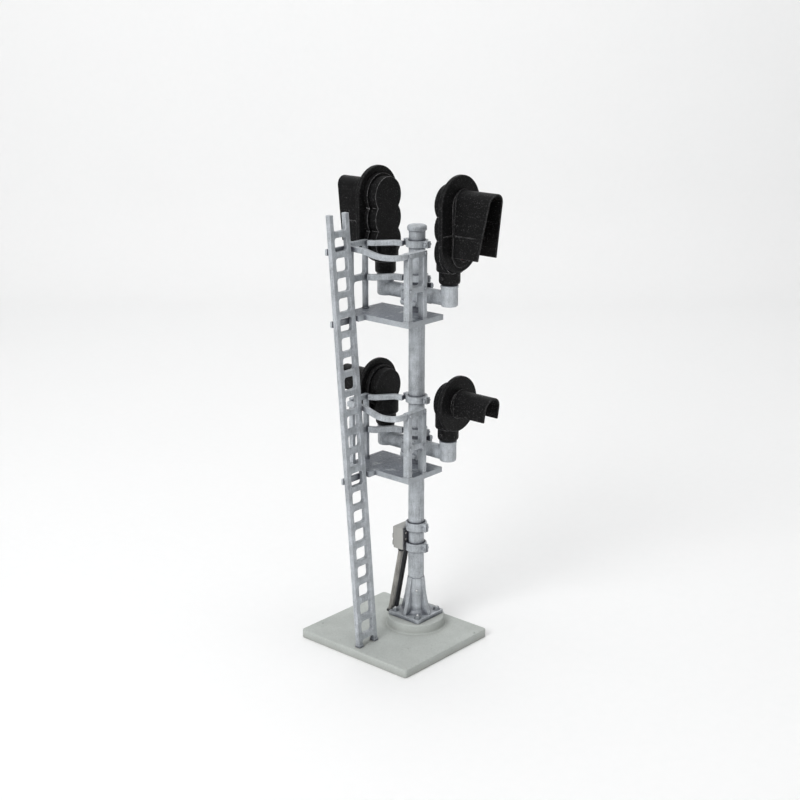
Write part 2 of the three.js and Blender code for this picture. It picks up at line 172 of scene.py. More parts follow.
def choose(kind: Pick, wanted: Callable[[object], bool]) -> None:
    """Select the faces, edges or vertices of the piece in edit mode that pass a test.

    Args:
        kind: What to select.
        wanted: The test, which is given each BMesh element.
    """
    bpy.ops.mesh.select_mode(type=kind.value)
    bpy.ops.mesh.select_all(action="DESELECT")
    mesh = bmesh.from_edit_mesh(bpy.context.edit_object.data)
    elements = {Pick.FACES: mesh.faces, Pick.EDGES: mesh.edges, Pick.VERTS: mesh.verts}[kind]
    for element in elements:
        if wanted(element):
            element.select_set(True)
    mesh.select_flush_mode()
    bmesh.update_edit_mesh(bpy.context.edit_object.data)


def upright_edge(edge: bmesh.types.BMEdge) -> bool:
    """True for an edge that runs along Z."""
    run = edge.verts[0].co - edge.verts[1].co
    return abs(run.z) > 0.9 * run.length


def block(low: Sequence[float], high: Sequence[float]) -> bpy.types.Object:
    """A box, ready to be shaped.

    Args:
        low: Its lowest corner.
        high: Its highest corner.

    Returns:
        The box.
    """
    low, high = Vector(low), Vector(high)
    bpy.ops.mesh.primitive_cube_add(size=1, location=(low + high) / 2)
    piece = bpy.context.active_object
    piece.scale = high - low
    return applied(piece)


def turned(profile: Sequence[tuple[float, float]], sides: int = 64) -> bpy.types.Object:
    """Turn a closed piece about the z axis, as on a lathe.

    A filled circle is extruded up from ring to ring, and resized at each one.

    Args:
        profile: Pairs of radius and height, from the foot up.
        sides: How many sides the piece has round.

    Returns:
        The turned piece.
    """
    radius, height = profile[0]
    bpy.ops.mesh.primitive_circle_add(
        vertices=sides, radius=radius, fill_type="NGON", location=(0, 0, height))
    piece = applied(bpy.context.active_object)
    with shaping(piece):
        for next_radius, next_height in profile[1:]:
            bpy.ops.mesh.extrude_region()
            bpy.ops.transform.translate(value=(0, 0, next_height - height))
            share = next_radius / radius
            bpy.ops.transform.resize(value=(share, share, 1), center_override=(0, 0, next_height))
            radius, height = next_radius, next_height
        bpy.ops.mesh.select_all(action="SELECT")
        bpy.ops.mesh.normals_make_consistent(inside=False)
    return piece


def drum(radius: float, low: float, high: float, sides: int = 64) -> bpy.types.Object:
    """A plain turned cylinder on the z axis."""
    return turned([(radius, low), (radius, high)], sides)


def moved(piece: bpy.types.Object, by: Sequence[float], turn: Point = (0, 0, 0)) -> bpy.types.Object:
    """Turn a piece about the origin, then move it, and apply both.

    Args:
        piece: The piece.
        by: How far it moves, in millimetres.
        turn: The turn about X, Y and Z, in degrees.

    Returns:
        The same piece.
    """
    piece.rotation_euler = [math.radians(angle) for angle in turn]
    piece.location = Vector(by)
    return applied(piece)


def twin(piece: bpy.types.Object) -> bpy.types.Object:
    """Copy a piece.

    Args:
        piece: The piece.

    Returns:
        The copy, with a mesh of its own.
    """
    pick(piece)
    bpy.ops.object.duplicate()
    return bpy.context.active_object


def joined(first: bpy.types.Object, *others: bpy.types.Object) -> bpy.types.Object:
    """Join pieces into one without welding them.

    Args:
        first: The piece that takes the others in.
        others: The pieces that are used up.

    Returns:
        The first piece.
    """
    pick(first, *others)
    bpy.ops.object.join()
    return first


def apply_modifier(piece: bpy.types.Object, modifier: bpy.types.Modifier) -> None:
    """Apply one modifier of a piece."""
    pick(piece)
    bpy.ops.object.modifier_apply(modifier=modifier.name)


def combined(piece: bpy.types.Object, tool: bpy.types.Object, how: str) -> bpy.types.Object:
    """Cut or join a piece with a tool, and use the tool up.

    Args:
        piece: The piece that is kept.
        tool: The other solid.
        how: UNION, DIFFERENCE or INTERSECT.

    Returns:
        The piece.
    """
    boolean = piece.modifiers.new("combine", "BOOLEAN")
    boolean.operation = how
    boolean.solver = "EXACT"
    boolean.object = tool
    apply_modifier(piece, boolean)
    bpy.data.objects.remove(tool)
    return piece


def cut(piece: bpy.types.Object, tool: bpy.types.Object) -> bpy.types.Object:
    """Take a tool's shape out of a piece."""
    return combined(piece, tool, "DIFFERENCE")


def welded(piece: bpy.types.Object, *others: bpy.types.Object) -> bpy.types.Object:
    """Weld other solids to a piece, so that they are one skin.

    Args:
        piece: The piece.
        others: The solids that are used up.

    Returns:
        The piece.
    """
    for other in others:
        combined(piece, other, "UNION")
    return piece


def softened(
    piece: bpy.types.Object, width: float, segments: int = 2, angle: float = 32.0
) -> bpy.types.Object:
    """Round every edge that is sharper than an angle.

    Args:
        piece: The piece.
        width: The width of the rounding, in millimetres.
        segments: How many steps it is made in.
        angle: The sharpest angle that is left alone, in degrees.

    Returns:
        The piece.
    """
    bevel = piece.modifiers.new("soften", "BEVEL")
    bevel.width = width
    bevel.segments = segments
    bevel.limit_method = "ANGLE"
    bevel.angle_limit = math.radians(angle)
    bevel.miter_outer = "MITER_ARC"
    apply_modifier(piece, bevel)
    return piece


def copy_of_node(node: str) -> bpy.types.Object:
    """Copy a CAD node, merge its corners and make its flat faces whole.

    Args:
        node: The node's name.

    Returns:
        The copy, in millimetres.
    """
    copy = bpy.data.objects.new(node + "_copy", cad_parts[node].data.copy())
    bpy.context.scene.collection.objects.link(copy)
    copy.scale = (1 / MM,) * 3
    with shaping(applied(copy)):
        bpy.ops.mesh.remove_doubles(threshold=MERGE_GAP)
        bpy.ops.mesh.dissolve_limited(angle_limit=math.radians(1.0))
    return copy


def window_plate(
    low: Sequence[float], high: Sequence[float],
    windows: Sequence[tuple[float, float, float, float]], corner: float,
) -> bpy.types.Object:
    """A plate in the YZ plane with round-cornered windows cut through it.

    Args:
        low: Lowest corner.
        high: Highest corner.
        windows: Each window's lowest and highest Y, then lowest and highest Z.
        corner: The radius of the windows' corners.

    Returns:
        The plate.
    """
    cutters = []
    for y0, y1, z0, z1 in windows:
        cutter = block((low[0] - 1, y0, z0), (high[0] + 1, y1, z1))
        with shaping(cutter):
            choose(Pick.EDGES, lambda e: abs(e.verts[0].co.x - e.verts[1].co.x) > 0.5)
            bpy.ops.mesh.bevel(offset=corner, segments=5)
        cutters.append(cutter)
    return cut(block(low, high), joined(*cutters))


def settle(
    piece: bpy.types.Object, name: str, finish: "Finish", *nodes: str,
    body: str = MAST_BODY, smooth: float = 40.0,
) -> None:
    """Bring a finished piece to metres, dress it, and let it ride on its body.

    Args:
        piece: The piece, modelled in millimetres.
        name: Its name.
        finish: What it is coated with or made of.
        nodes: The CAD nodes that it stands for.
        body: The CAD body that it rides on.
        smooth: The sharpest angle that is shaded smooth, in degrees.
    """
    piece.name = name
    piece.data.name = name
    piece.scale = (MM,) * 3
    applied(piece)
    bpy.ops.object.shade_smooth_by_angle(angle=math.radians(smooth))
    weighted = piece.modifiers.new("flat faces stay flat", "WEIGHTED_NORMAL")
    weighted.keep_sharp = True
    apply_modifier(piece, weighted)
    piece.data.materials.clear()
    piece.data.materials.append(finish.material())
    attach(piece, body)
    if nodes:
        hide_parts(*nodes)
    log.info("%s: %d faces on %s", name, len(piece.data.polygons), body)


# ---------------------------------------------------------------------------- shader groups
def new_group(
    name: str, inputs: Sequence[tuple[str, float]], outputs: Sequence[str]
) -> tuple[bpy.types.NodeTree, bpy.types.Node, bpy.types.Node]:
    """An empty shader group with number sockets, and a Position input.

    Args:
        name: The group's name.
        inputs: Each number input's name and its first value.
        outputs: The names of the number outputs.

    Returns:
        The group, its input node and its output node.
    """
    group = bpy.data.node_groups.new(name, "ShaderNodeTree")
    group.interface.new_socket("Position", in_out="INPUT", socket_type="NodeSocketVector")
    for label, value in inputs:
        socket = group.interface.new_socket(label, in_out="INPUT", socket_type="NodeSocketFloat")
        socket.default_value = value
    for label in outputs:
        group.interface.new_socket(label, in_out="OUTPUT", socket_type="NodeSocketFloat")
    return group, group.nodes.new("NodeGroupInput"), group.nodes.new("NodeGroupOutput")


def math_node(
    tree: bpy.types.NodeTree, how: str, first: object, second: object, clamp: bool = False
) -> bpy.types.NodeSocket:
    """Add a Math node on two values, each a socket or a number.

    Args:
        tree: The node tree.
        how: The operation.
        first: The first value.
        second: The second value.
        clamp: Whether the result is kept between 0 and 1.

    Returns:
        The result.
    """
    node = tree.nodes.new("ShaderNodeMath")
    node.operation = how
    node.use_clamp = clamp
    for index, value in enumerate((first, second)):
        if isinstance(value, bpy.types.NodeSocket):
            tree.links.new(value, node.inputs[index])
        else:
            node.inputs[index].default_value = value
    return node.outputs[0]


def stretched(
    tree: bpy.types.NodeTree, value: bpy.types.NodeSocket, start: float, gain: float
) -> bpy.types.NodeSocket:
    """A value less a start, times a gain, kept between 0 and 1."""
    return math_node(tree, "MULTIPLY", math_node(tree, "SUBTRACT", value, start), gain, True)


def noise(
    tree: bpy.types.NodeTree, position: bpy.types.NodeSocket, scale: object, detail: float = 3.0
) -> bpy.types.NodeSocket:
    """Add a noise pattern on a position in millimetres.

    Args:
        tree: The node tree.
        position: The position.
        scale: Features per millimetre, a number or a socket.
        detail: How many finer octaves it has.

    Returns:
        The pattern.
    """
    node = tree.nodes.new("ShaderNodeTexNoise")
    node.inputs["Detail"].default_value = detail
    tree.links.new(position, node.inputs["Vector"])
    if isinstance(scale, bpy.types.NodeSocket):
        tree.links.new(scale, node.inputs["Scale"])
    else:
        node.inputs["Scale"].default_value = scale
    return node.outputs["Fac"]


class Groups:
    """The shader groups that the finishes share, each built when it is first wanted."""

    made: dict[str, bpy.types.NodeTree] = {}

    @classmethod
    def get(cls, name: str) -> bpy.types.NodeTree:
        """Find a group, or build it by the method of its name.

        Args:
            name: The group's name.

        Returns:
            The group.
        """
        if name not in cls.made:
            cls.made[name] = getattr(cls, name.replace(" ", "_"))()
        return cls.made[name]

    @staticmethod
    def grain() -> bpy.types.NodeTree:
        """Fine grain over broad mottling, with a height for a bump.

        Returns:
            The group.
        """
        group, inlet, outlet = new_group(
            "grain", [("Fine", 8.0), ("Broad", 0.6), ("Streak", 0.0)], ["Tone", "Height"])
        place = inlet.outputs["Position"]
        fine = noise(group, place, inlet.outputs["Fine"], 2.0)
        broad = noise(group, place, inlet.outputs["Broad"], 4.0)
        mapping = group.nodes.new("ShaderNodeMapping")
        mapping.inputs["Scale"].default_value = (3.0, 3.0, 0.25)
        group.links.new(place, mapping.inputs["Vector"])
        streak = math_node(group, "SUBTRACT", noise(group, mapping.outputs["Vector"], 1.2), 0.5)
        streak = math_node(group, "MULTIPLY", streak, inlet.outputs["Streak"])
        tone = math_node(group, "ADD", math_node(group, "MULTIPLY", fine, 0.5),
                         math_node(group, "MULTIPLY", broad, 0.5))
        group.links.new(math_node(group, "ADD", tone, streak), outlet.inputs["Tone"])
        group.links.new(fine, outlet.inputs["Height"])
        return group

    @staticmethod
    def worn_edges() -> bpy.types.NodeTree:
        """A mask of the convex edges, broken up so that it isn't even: worn paint that is also a painted
        highlight.

        Returns:
            The group.
        """
        group, inlet, outlet = new_group(
            "worn edges", [("Width", 0.1), ("Break up", 2.5), ("Gain", 3.0)], ["Mask"])
        bevel = group.nodes.new("ShaderNodeBevel")
        bevel.samples = 6
        group.links.new(
            math_node(group, "MULTIPLY", inlet.outputs["Width"], MM), bevel.inputs["Radius"])
        geometry = group.nodes.new("ShaderNodeNewGeometry")
        dot = group.nodes.new("ShaderNodeVectorMath")
        dot.operation = "DOT_PRODUCT"
        group.links.new(bevel.outputs["Normal"], dot.inputs[0])
        group.links.new(geometry.outputs["Normal"], dot.inputs[1])
        turn = math_node(group, "SUBTRACT", 1.0, dot.outputs["Value"])
        spots = noise(group, inlet.outputs["Position"], inlet.outputs["Break up"])
        spots = stretched(group, spots, 0.3, 2.2)
        mask = math_node(group, "MULTIPLY", turn, inlet.outputs["Gain"], True)
        group.links.new(math_node(group, "MULTIPLY", mask, spots, True), outlet.inputs["Mask"])
        return group

    @staticmethod
    def dust() -> bpy.types.NodeTree:
        """A mask of fine dust on whatever faces up; the deck paint uses it, in a dark colour, as painted
        shade on the deck tops.

        Returns:
            The group.
        """
        group, inlet, outlet = new_group("dust", [("Patch", 1.4), ("Amount", 0.3)], ["Mask"])
        geometry = group.nodes.new("ShaderNodeNewGeometry")
        parts = group.nodes.new("ShaderNodeSeparateXYZ")
        group.links.new(geometry.outputs["Normal"], parts.inputs[0])
        patch = noise(group, inlet.outputs["Position"], inlet.outputs["Patch"], 5.0)
        mask = math_node(
            group, "MULTIPLY", stretched(group, parts.outputs["Z"], 0.4, 1.7),
            stretched(group, patch, 0.35, 3.0), True)
        mask = math_node(group, "MULTIPLY", mask, inlet.outputs["Amount"], True)
        group.links.new(mask, outlet.inputs["Mask"])
        return group

    @staticmethod
    def painted_crevice_shade() -> bpy.types.NodeTree:
        """A mask of the corners and gaps, for painted shade laid in by ambient occlusion.

        Returns:
            The group.
        """
        group, inlet, outlet = new_group(
            "painted_crevice_shade", [("Reach", 1.2), ("Amount", 0.6), ("Patch", 1.2)], ["Mask"])
        # Ambient occlusion: this mask paints shade into corners, creases and gaps.
        hidden = group.nodes.new("ShaderNodeAmbientOcclusion")
        hidden.samples = 8
        hidden.only_local = False
        group.links.new(
            math_node(group, "MULTIPLY", inlet.outputs["Reach"], MM), hidden.inputs["Distance"])
        depth = math_node(group, "SUBTRACT", 1.0, hidden.outputs["AO"])
        patch = noise(group, inlet.outputs["Position"], inlet.outputs["Patch"])
        patch = math_node(group, "ADD", math_node(group, "MULTIPLY", patch, 0.8), 0.55)
        mask = math_node(group, "MULTIPLY", stretched(group, depth, 0.08, 2.3), patch)
        mask = math_node(group, "MULTIPLY", mask, inlet.outputs["Amount"], True)
        group.links.new(mask, outlet.inputs["Mask"])
        return group

    @staticmethod
    def painted_glints() -> bpy.types.NodeTree:
        """A mask of small scattered spots, laid on as painted glints.

        Returns:
            The group.
        """
        group, inlet, outlet = new_group("painted_glints", [("Size", 5.0), ("Amount", 0.3)], ["Mask"])
        spots = noise(group, inlet.outputs["Position"], inlet.outputs["Size"], 2.0)
        mask = math_node(
            group, "MULTIPLY", stretched(group, spots, 0.6, 9.0), inlet.outputs["Amount"], True)
        group.links.new(mask, outlet.inputs["Mask"])
        return group


class Sheet:
    """A material's node tree while a finish fills it in."""

    def __init__(self, name: str) -> None:
        """Start a material with a Principled shader and a position in millimetres.

        Args:
            name: The material's name.
        """
        self.material = bpy.data.materials.new(name)
        self.material.use_nodes = True
        self.tree = self.material.node_tree
        self.shader = self.tree.nodes["Principled BSDF"]
        place = self.tree.nodes.new("ShaderNodeTexCoord")
        mapping = self.tree.nodes.new("ShaderNodeMapping")
        mapping.inputs["Scale"].default_value = (1 / MM,) * 3
        self.tree.links.new(place.outputs["Object"], mapping.inputs["Vector"])
        self.position = mapping.outputs["Vector"]

    def group(self, name: str, **values: float) -> bpy.types.Node:
        """Place a shared group, with its own values.

        Args:
            name: The group's name.
            values: A value for each input that isn't left as it is, spaces as underscores.

        Returns:
            The group's node.
        """
        node = self.tree.nodes.new("ShaderNodeGroup")
        node.node_tree = Groups.get(name)
        self.tree.links.new(self.position, node.inputs["Position"])
        for label, value in values.items():
            node.inputs[label.replace("_", " ").capitalize()].default_value = value
        return node

    def grained(self, **values: float) -> tuple[bpy.types.NodeSocket, bpy.types.NodeSocket]:
        """Place the grain group.

        Args:
            values: The group's own values.

        Returns:
            Its tone, spread over 0 to 1, and its height.
        """
        grain = self.group("grain", **values)
        return self.ramp(grain.outputs["Tone"], 0.0, 1.0, *TONE_RANGE), grain.outputs["Height"]

    def coat(self, under: bpy.types.NodeSocket, mask: str, colour: Colour,
             **values: float) -> bpy.types.NodeSocket:
        """Lay a colour over another one, where a shared group's mask is.

        Args:
            under: The colour below.
            mask: The name of the group.
            colour: The colour that is laid on.
            values: The group's own values.

        Returns:
            The mixed colour.
        """
        return self.blend(self.group(mask, **values).outputs["Mask"], under, colour)

    def blend(self, factor: object, first: object, second: object) -> bpy.types.NodeSocket:
        """Mix two colours by a factor.

        Args:
            factor: How much of the second one there is, a socket or a number.
            first: A socket or a colour.
            second: A socket or a colour.

        Returns:
            The mixed colour.
        """
        node = self.tree.nodes.new("ShaderNodeMix")
        node.data_type = "RGBA"
        for index, value in ((0, factor), (6, first), (7, second)):
            if isinstance(value, bpy.types.NodeSocket):
                self.tree.links.new(value, node.inputs[index])
            else:
                node.inputs[index].default_value = value if index == 0 else (*value, 1.0)
        return node.outputs[2]

    def ramp(self, value: bpy.types.NodeSocket, low: float, high: float,
             start: float = 0.0, end: float = 1.0) -> bpy.types.NodeSocket:
        """Map a value from one range onto another.

        Args:
            value: The value.
            low: What it becomes at the start of its range.
            high: What it becomes at the end.
            start: The start of its range.
            end: The end of its range.

        Returns:
            The mapped value.
        """
        node = self.tree.nodes.new("ShaderNodeMapRange")
        self.tree.links.new(value, node.inputs["Value"])
        for label, number in (("From Min", start), ("From Max", end), ("To Min", low), ("To Max", high)):
            node.inputs[label].default_value = number
        return node.outputs["Result"]

    def bump(self, height: bpy.types.NodeSocket, depth_mm: float) -> None:
        """Feed a height to the shader's normal.

        Args:
            height: The height, from 0 to 1.
            depth_mm: How deep it is, in millimetres.
        """
        node = self.tree.nodes.new("ShaderNodeBump")
        node.inputs["Strength"].default_value = 1.0
        node.inputs["Distance"].default_value = depth_mm * MM
        self.tree.links.new(height, node.inputs["Height"])
        self.feed("Normal", node.outputs["Normal"])

    def feed(self, label: str, value: bpy.types.NodeSocket) -> None:
        """Link a socket to one of the shader's inputs."""
        self.tree.links.new(value, self.shader.inputs[label])


def shade(colour: Colour, by: float) -> Colour:
    """A colour made lighter or darker by a factor."""
    return tuple(min(1.0, channel * by) for channel in colour)


# ---------------------------------------------------------------------------- finishes
@dataclass(frozen=True)
class Finish:
    """What all the finishes share: a name, a slot name and a colour."""

    name: str
    slot: str
    colour: Colour

    def material(self) -> bpy.types.Material:
        """The Blender material, made when it is first wanted."""
        return bpy.data.materials.get(self.name) or self.make()

    def make(self) -> bpy.types.Material:
        """Build the material."""
        raise NotImplementedError


@dataclass(frozen=True)
class SprayedPaint(Finish):
    """Satin paint over a casting: fine grain, edges worn and lightened as a painted highlight, a little
    dust, painted shade in its creases and, on some paints, painted glints.
    """

    roughness: float = 0.45
    metallic: float = 0.0
    specular: float = 0.4
    variation: float = 0.12
    streak: float = 0.0
    fine: float = 7.0
    depth_mm: float = 0.012
    # The edge colour is worn paint on the edges and also a painted highlight along them; the painted
    # glints use it too.
    edge_wear_and_highlight_colour: Colour = (0.6, 0.6, 0.6)
    edge_width: float = 0.12
    edge_wear_and_highlight_gain: float = 2.5
    dust_and_shade_colour: Colour = (0.6, 0.6, 0.58)
    dust: float = 0.2
    dust_patch: float = 1.4
    # wash, with its reach and colour below, is painted shade laid into corners, creases and gaps.
    wash: float = 0.75
    painted_shade_reach: float = 1.2
    painted_shade_colour: Colour = (0.10, 0.105, 0.12)
    # Painted glints: small light spots in the edge colour, scattered over the surface.
    painted_glints: float = 0.0

    def make(self) -> bpy.types.Material:
        """Build the paint.

        Returns:
            The material.
        """
        sheet = Sheet(self.name)
        tone, height = sheet.grained(fine=self.fine, broad=0.55, streak=self.streak)
        colour = sheet.blend(
            tone, shade(self.colour, 1 - self.variation), shade(self.colour, 1 + self.variation))
        # Painted shade: the ambient-occlusion mask darkens corners, creases and gaps.
        colour = sheet.coat(
            colour, "painted_crevice_shade", self.painted_shade_colour, amount=self.wash, reach=self.painted_shade_reach)
        # Edge wear, lightened as a painted highlight along the convex edges.
        colour = sheet.coat(
            colour, "worn edges", self.edge_wear_and_highlight_colour, width=self.edge_width, break_up=2.2,
            gain=self.edge_wear_and_highlight_gain)
        colour = sheet.coat(
            colour, "dust", self.dust_and_shade_colour, amount=self.dust, patch=self.dust_patch)
        # Painted glints in the edge colour.
        if self.painted_glints:
            colour = sheet.coat(colour, "painted_glints", self.edge_wear_and_highlight_colour, size=5.5, amount=self.painted_glints)
        sheet.feed("Base Color", colour)
        sheet.feed("Roughness", sheet.ramp(tone, self.roughness + 0.08, self.roughness - 0.06))
        sheet.shader.inputs["Metallic"].default_value = self.metallic
        sheet.shader.inputs["Specular IOR Level"].default_value = self.specular
        sheet.bump(height, self.depth_mm)
        return sheet.material


@dataclass(frozen=True)
class CastConcrete(Finish):
    """Fine matt concrete colour with pale and dark speckle, pores and soft stains, and painted shade in
    its corners.
    """

    roughness: float = 0.85
    stain_and_shade: Colour = (0.30, 0.31, 0.29)

    def make(self) -> bpy.types.Material:
        """Build the concrete.

        Returns:
            The material.
        """
        sheet = Sheet(self.name)
        tone, height = sheet.grained(fine=4.5, broad=0.3)
        speckle = noise(sheet.tree, sheet.position, 5.5, 2.0)
        pores = sheet.ramp(noise(sheet.tree, sheet.position, 2.6, 2.0), 0.0, 1.0, 0.66, 0.72)
        colour = sheet.blend(tone, shade(self.colour, 0.86), shade(self.colour, 1.1))
        colour = sheet.blend(sheet.ramp(speckle, 0.0, 0.35, 0.6, 0.72), colour, shade(self.colour, 1.18))
        colour = sheet.blend(sheet.ramp(speckle, 0.3, 0.0, 0.28, 0.4), colour, self.stain_and_shade)
        colour = sheet.blend(sheet.ramp(pores, 0.0, 0.45), colour, self.stain_and_shade)
        # Painted shade in the corners, in the stain colour.
        colour = sheet.coat(colour, "painted_crevice_shade", self.stain_and_shade, reach=1.9, amount=0.75)
        # Edges lightened by wear and as a painted highlight.
        colour = sheet.coat(
            colour, "worn edges", shade(self.colour, 1.1), width=0.15, break_up=1.5, gain=2.0)
        sheet.feed("Base Color", colour)
        sheet.feed("Roughness", sheet.ramp(tone, self.roughness + 0.06, self.roughness - 0.08))
        sheet.shader.inputs["Specular IOR Level"].default_value = 0.25
        sheet.bump(math_node(sheet.tree, "SUBTRACT", height, pores), 0.02)
        return sheet.material


@dataclass(frozen=True)
class BrightSteel(Finish):
    """Bare plated steel with fine turning marks."""

    roughness: float = 0.32

    def make(self) -> bpy.types.Material:
        """Build the steel.

        Returns:
            The material.
        """
        sheet = Sheet(self.name)
        tone, height = sheet.grained(fine=14.0, broad=2.0)
        colour = sheet.blend(tone, shade(self.colour, 0.85), self.colour)
        # Edges lightened by wear and as a painted highlight.
        colour = sheet.coat(
            colour, "worn edges", shade(self.colour, 1.25), width=0.06, break_up=4.0, gain=2.0)
        sheet.feed("Base Color", colour)
        sheet.feed("Roughness", sheet.ramp(tone, self.roughness + 0.12, self.roughness))
        sheet.shader.inputs["Metallic"].default_value = 0.75
        sheet.bump(height, 0.006)
        return sheet.material


@dataclass(frozen=True)
class LensPlastic(Finish):
    """A clear coloured signal lens, glossy over a darker depth."""

    def make(self) -> bpy.types.Material:
        """Build the lens.

        Returns:
            The material.
        """
        sheet = Sheet(self.name)
        tone = sheet.group("grain", fine=3.0, broad=0.8).outputs["Tone"]
        weight = sheet.tree.nodes.new("ShaderNodeLayerWeight")
        weight.inputs["Blend"].default_value = 0.35
        deep = sheet.blend(weight.outputs["Facing"], shade(self.colour, 1.1), shade(self.colour, 0.4))
        cloud = sheet.ramp(tone, 0.0, 0.25, *TONE_RANGE)
        sheet.feed("Base Color", sheet.blend(cloud, deep, shade(self.colour, 0.7)))
        sheet.feed("Roughness", sheet.ramp(tone, 0.05, 0.12))
        sheet.shader.inputs["Coat Weight"].default_value = 0.6
        sheet.shader.inputs["Coat Roughness"].default_value = 0.03
        return sheet.material


# In every paint below, the wash values set the painted shade laid into its corners and gaps.
GREY = SprayedPaint(
    "grey paint", "grey_paint", (0.41, 0.436, 0.462), roughness=0.42, metallic=0.15,
    specular=0.45, variation=0.42, streak=0.3, edge_wear_and_highlight_colour=(0.56, 0.59, 0.61), dust=0.08,
    wash=1.0, painted_shade_reach=1.7, painted_shade_colour=(0.065, 0.07, 0.09))
# A darker copy of the grey paint, as painted shade on the decks: its dust mask, dark and at full
# strength, darkens every face that looks up.
SHADED_DECK_GREY = SprayedPaint(
    "deck paint", "grey_paint", (0.38, 0.405, 0.43), roughness=0.45, metallic=0.12,
    specular=0.4, variation=0.25, edge_wear_and_highlight_colour=(0.5, 0.53, 0.55),
    dust_and_shade_colour=(0.2, 0.217, 0.245), dust=7.0, dust_patch=0.4, wash=1.0,
    painted_shade_colour=(0.06, 0.065, 0.085))
BOX_GREY = SprayedPaint(
    "box paint", "box_paint", (0.39, 0.39, 0.372), roughness=0.5, variation=0.08,
    edge_wear_and_highlight_colour=(0.5, 0.5, 0.48), dust=0.1, wash=1.0)
# The dark pipe's grey edges and scattered light spots are a painted highlight and painted glints.
PIPE_DARK = SprayedPaint(
    "dark pipe", "dark_pipe", (0.010, 0.010, 0.010), roughness=0.4, specular=0.4,
    variation=0.4, streak=0.9, edge_wear_and_highlight_colour=(0.16, 0.155, 0.145), dust=0.05, painted_glints=0.3)
# A paler copy of the dark pipe paint. On the front conduit it is painted light, standing for the light
# that falls on it while the rear conduit is in shade; the screws on the dark plate by the box use it as
# a dull tint.
PALE_PIPE = SprayedPaint(
    "pale pipe", "dark_pipe", (0.30, 0.292, 0.272), roughness=0.45, specular=0.4,
    variation=0.45, streak=0.7, edge_wear_and_highlight_colour=(0.3, 0.29, 0.27), dust=0.05, wash=0.5,
    painted_shade_colour=(0.006, 0.006, 0.006))
# The black paint's light edge colour at a high gain paints a highlight along its edges.
BLACK = SprayedPaint(
    "black paint", "black_paint", (0.0045, 0.0045, 0.0048), roughness=0.5, specular=0.12,
    variation=0.3, fine=6.0, depth_mm=0.035, edge_wear_and_highlight_colour=(0.36, 0.36, 0.365),
    edge_width=0.17, edge_wear_and_highlight_gain=7.0, dust_and_shade_colour=(0.05, 0.05, 0.052), dust=0.08,
    wash=0.8, painted_shade_colour=(0.001, 0.001, 0.001), painted_glints=0.17)
CONCRETE = CastConcrete("base concrete", "base", (0.48, 0.505, 0.485))
STEEL = BrightSteel("bright steel", "bright_steel", (0.75, 0.76, 0.77))
NUT_GREY = BrightSteel("dull nut steel", "bright_steel", (0.33, 0.35, 0.37), roughness=0.45)
LENSES = (
    LensPlastic("green lens", "lens_green", (0.02, 0.32, 0.10)),
    LensPlastic("amber lens", "lens_amber", (0.75, 0.32, 0.02)),
    LensPlastic("red lens", "lens_red", (0.45, 0.015, 0.01)),
)


# ---------------------------------------------------------------------------- small hardware
@dataclass(frozen=True)
class HexBolt:
    """A hexagon head on a washer."""

    across: float
    head: float
    washer: float

    def build(self) -> bpy.types.Object:
        """Model the bolt standing on the XY plane, with its head up.

        Returns:
            The bolt.
        """
        radius = self.across / 2 / math.cos(math.radians(30))
        washer = softened(drum(radius * 1.15, 0, self.washer, 28), self.washer * 0.3, 1)
        head = drum(radius, self.washer * 0.5, self.washer + self.head, 6)
        with shaping(head):
            choose(Pick.FACES, lambda f: f.normal.z > 0.9)
            bpy.ops.mesh.bevel(offset=self.head * 0.22, segments=2, affect="EDGES")
        return joined(washer, head)

    def fit(self, name: str, seats: Sequence[tuple[Sequence[float], Point]]) -> None:
        """Set a bolt in each seat, and settle them as one grey piece.

        Args:
            name: The name of the piece.
            seats: Each bolt's place, and its turn in degrees.
        """
        pattern = self.build()
        bolts = [moved(twin(pattern), place, turn) for place, turn in seats]
        bpy.data.objects.remove(pattern)
        settle(joined(*bolts), name, GREY)


FACING_NORTH = (-90.0, 0.0, 0.0)
FACING_SOUTH = (90.0, 0.0, 0.0)
FACING_EAST = (0.0, 90.0, 0.0)
FACING_WEST = (0.0, -90.0, 0.0)


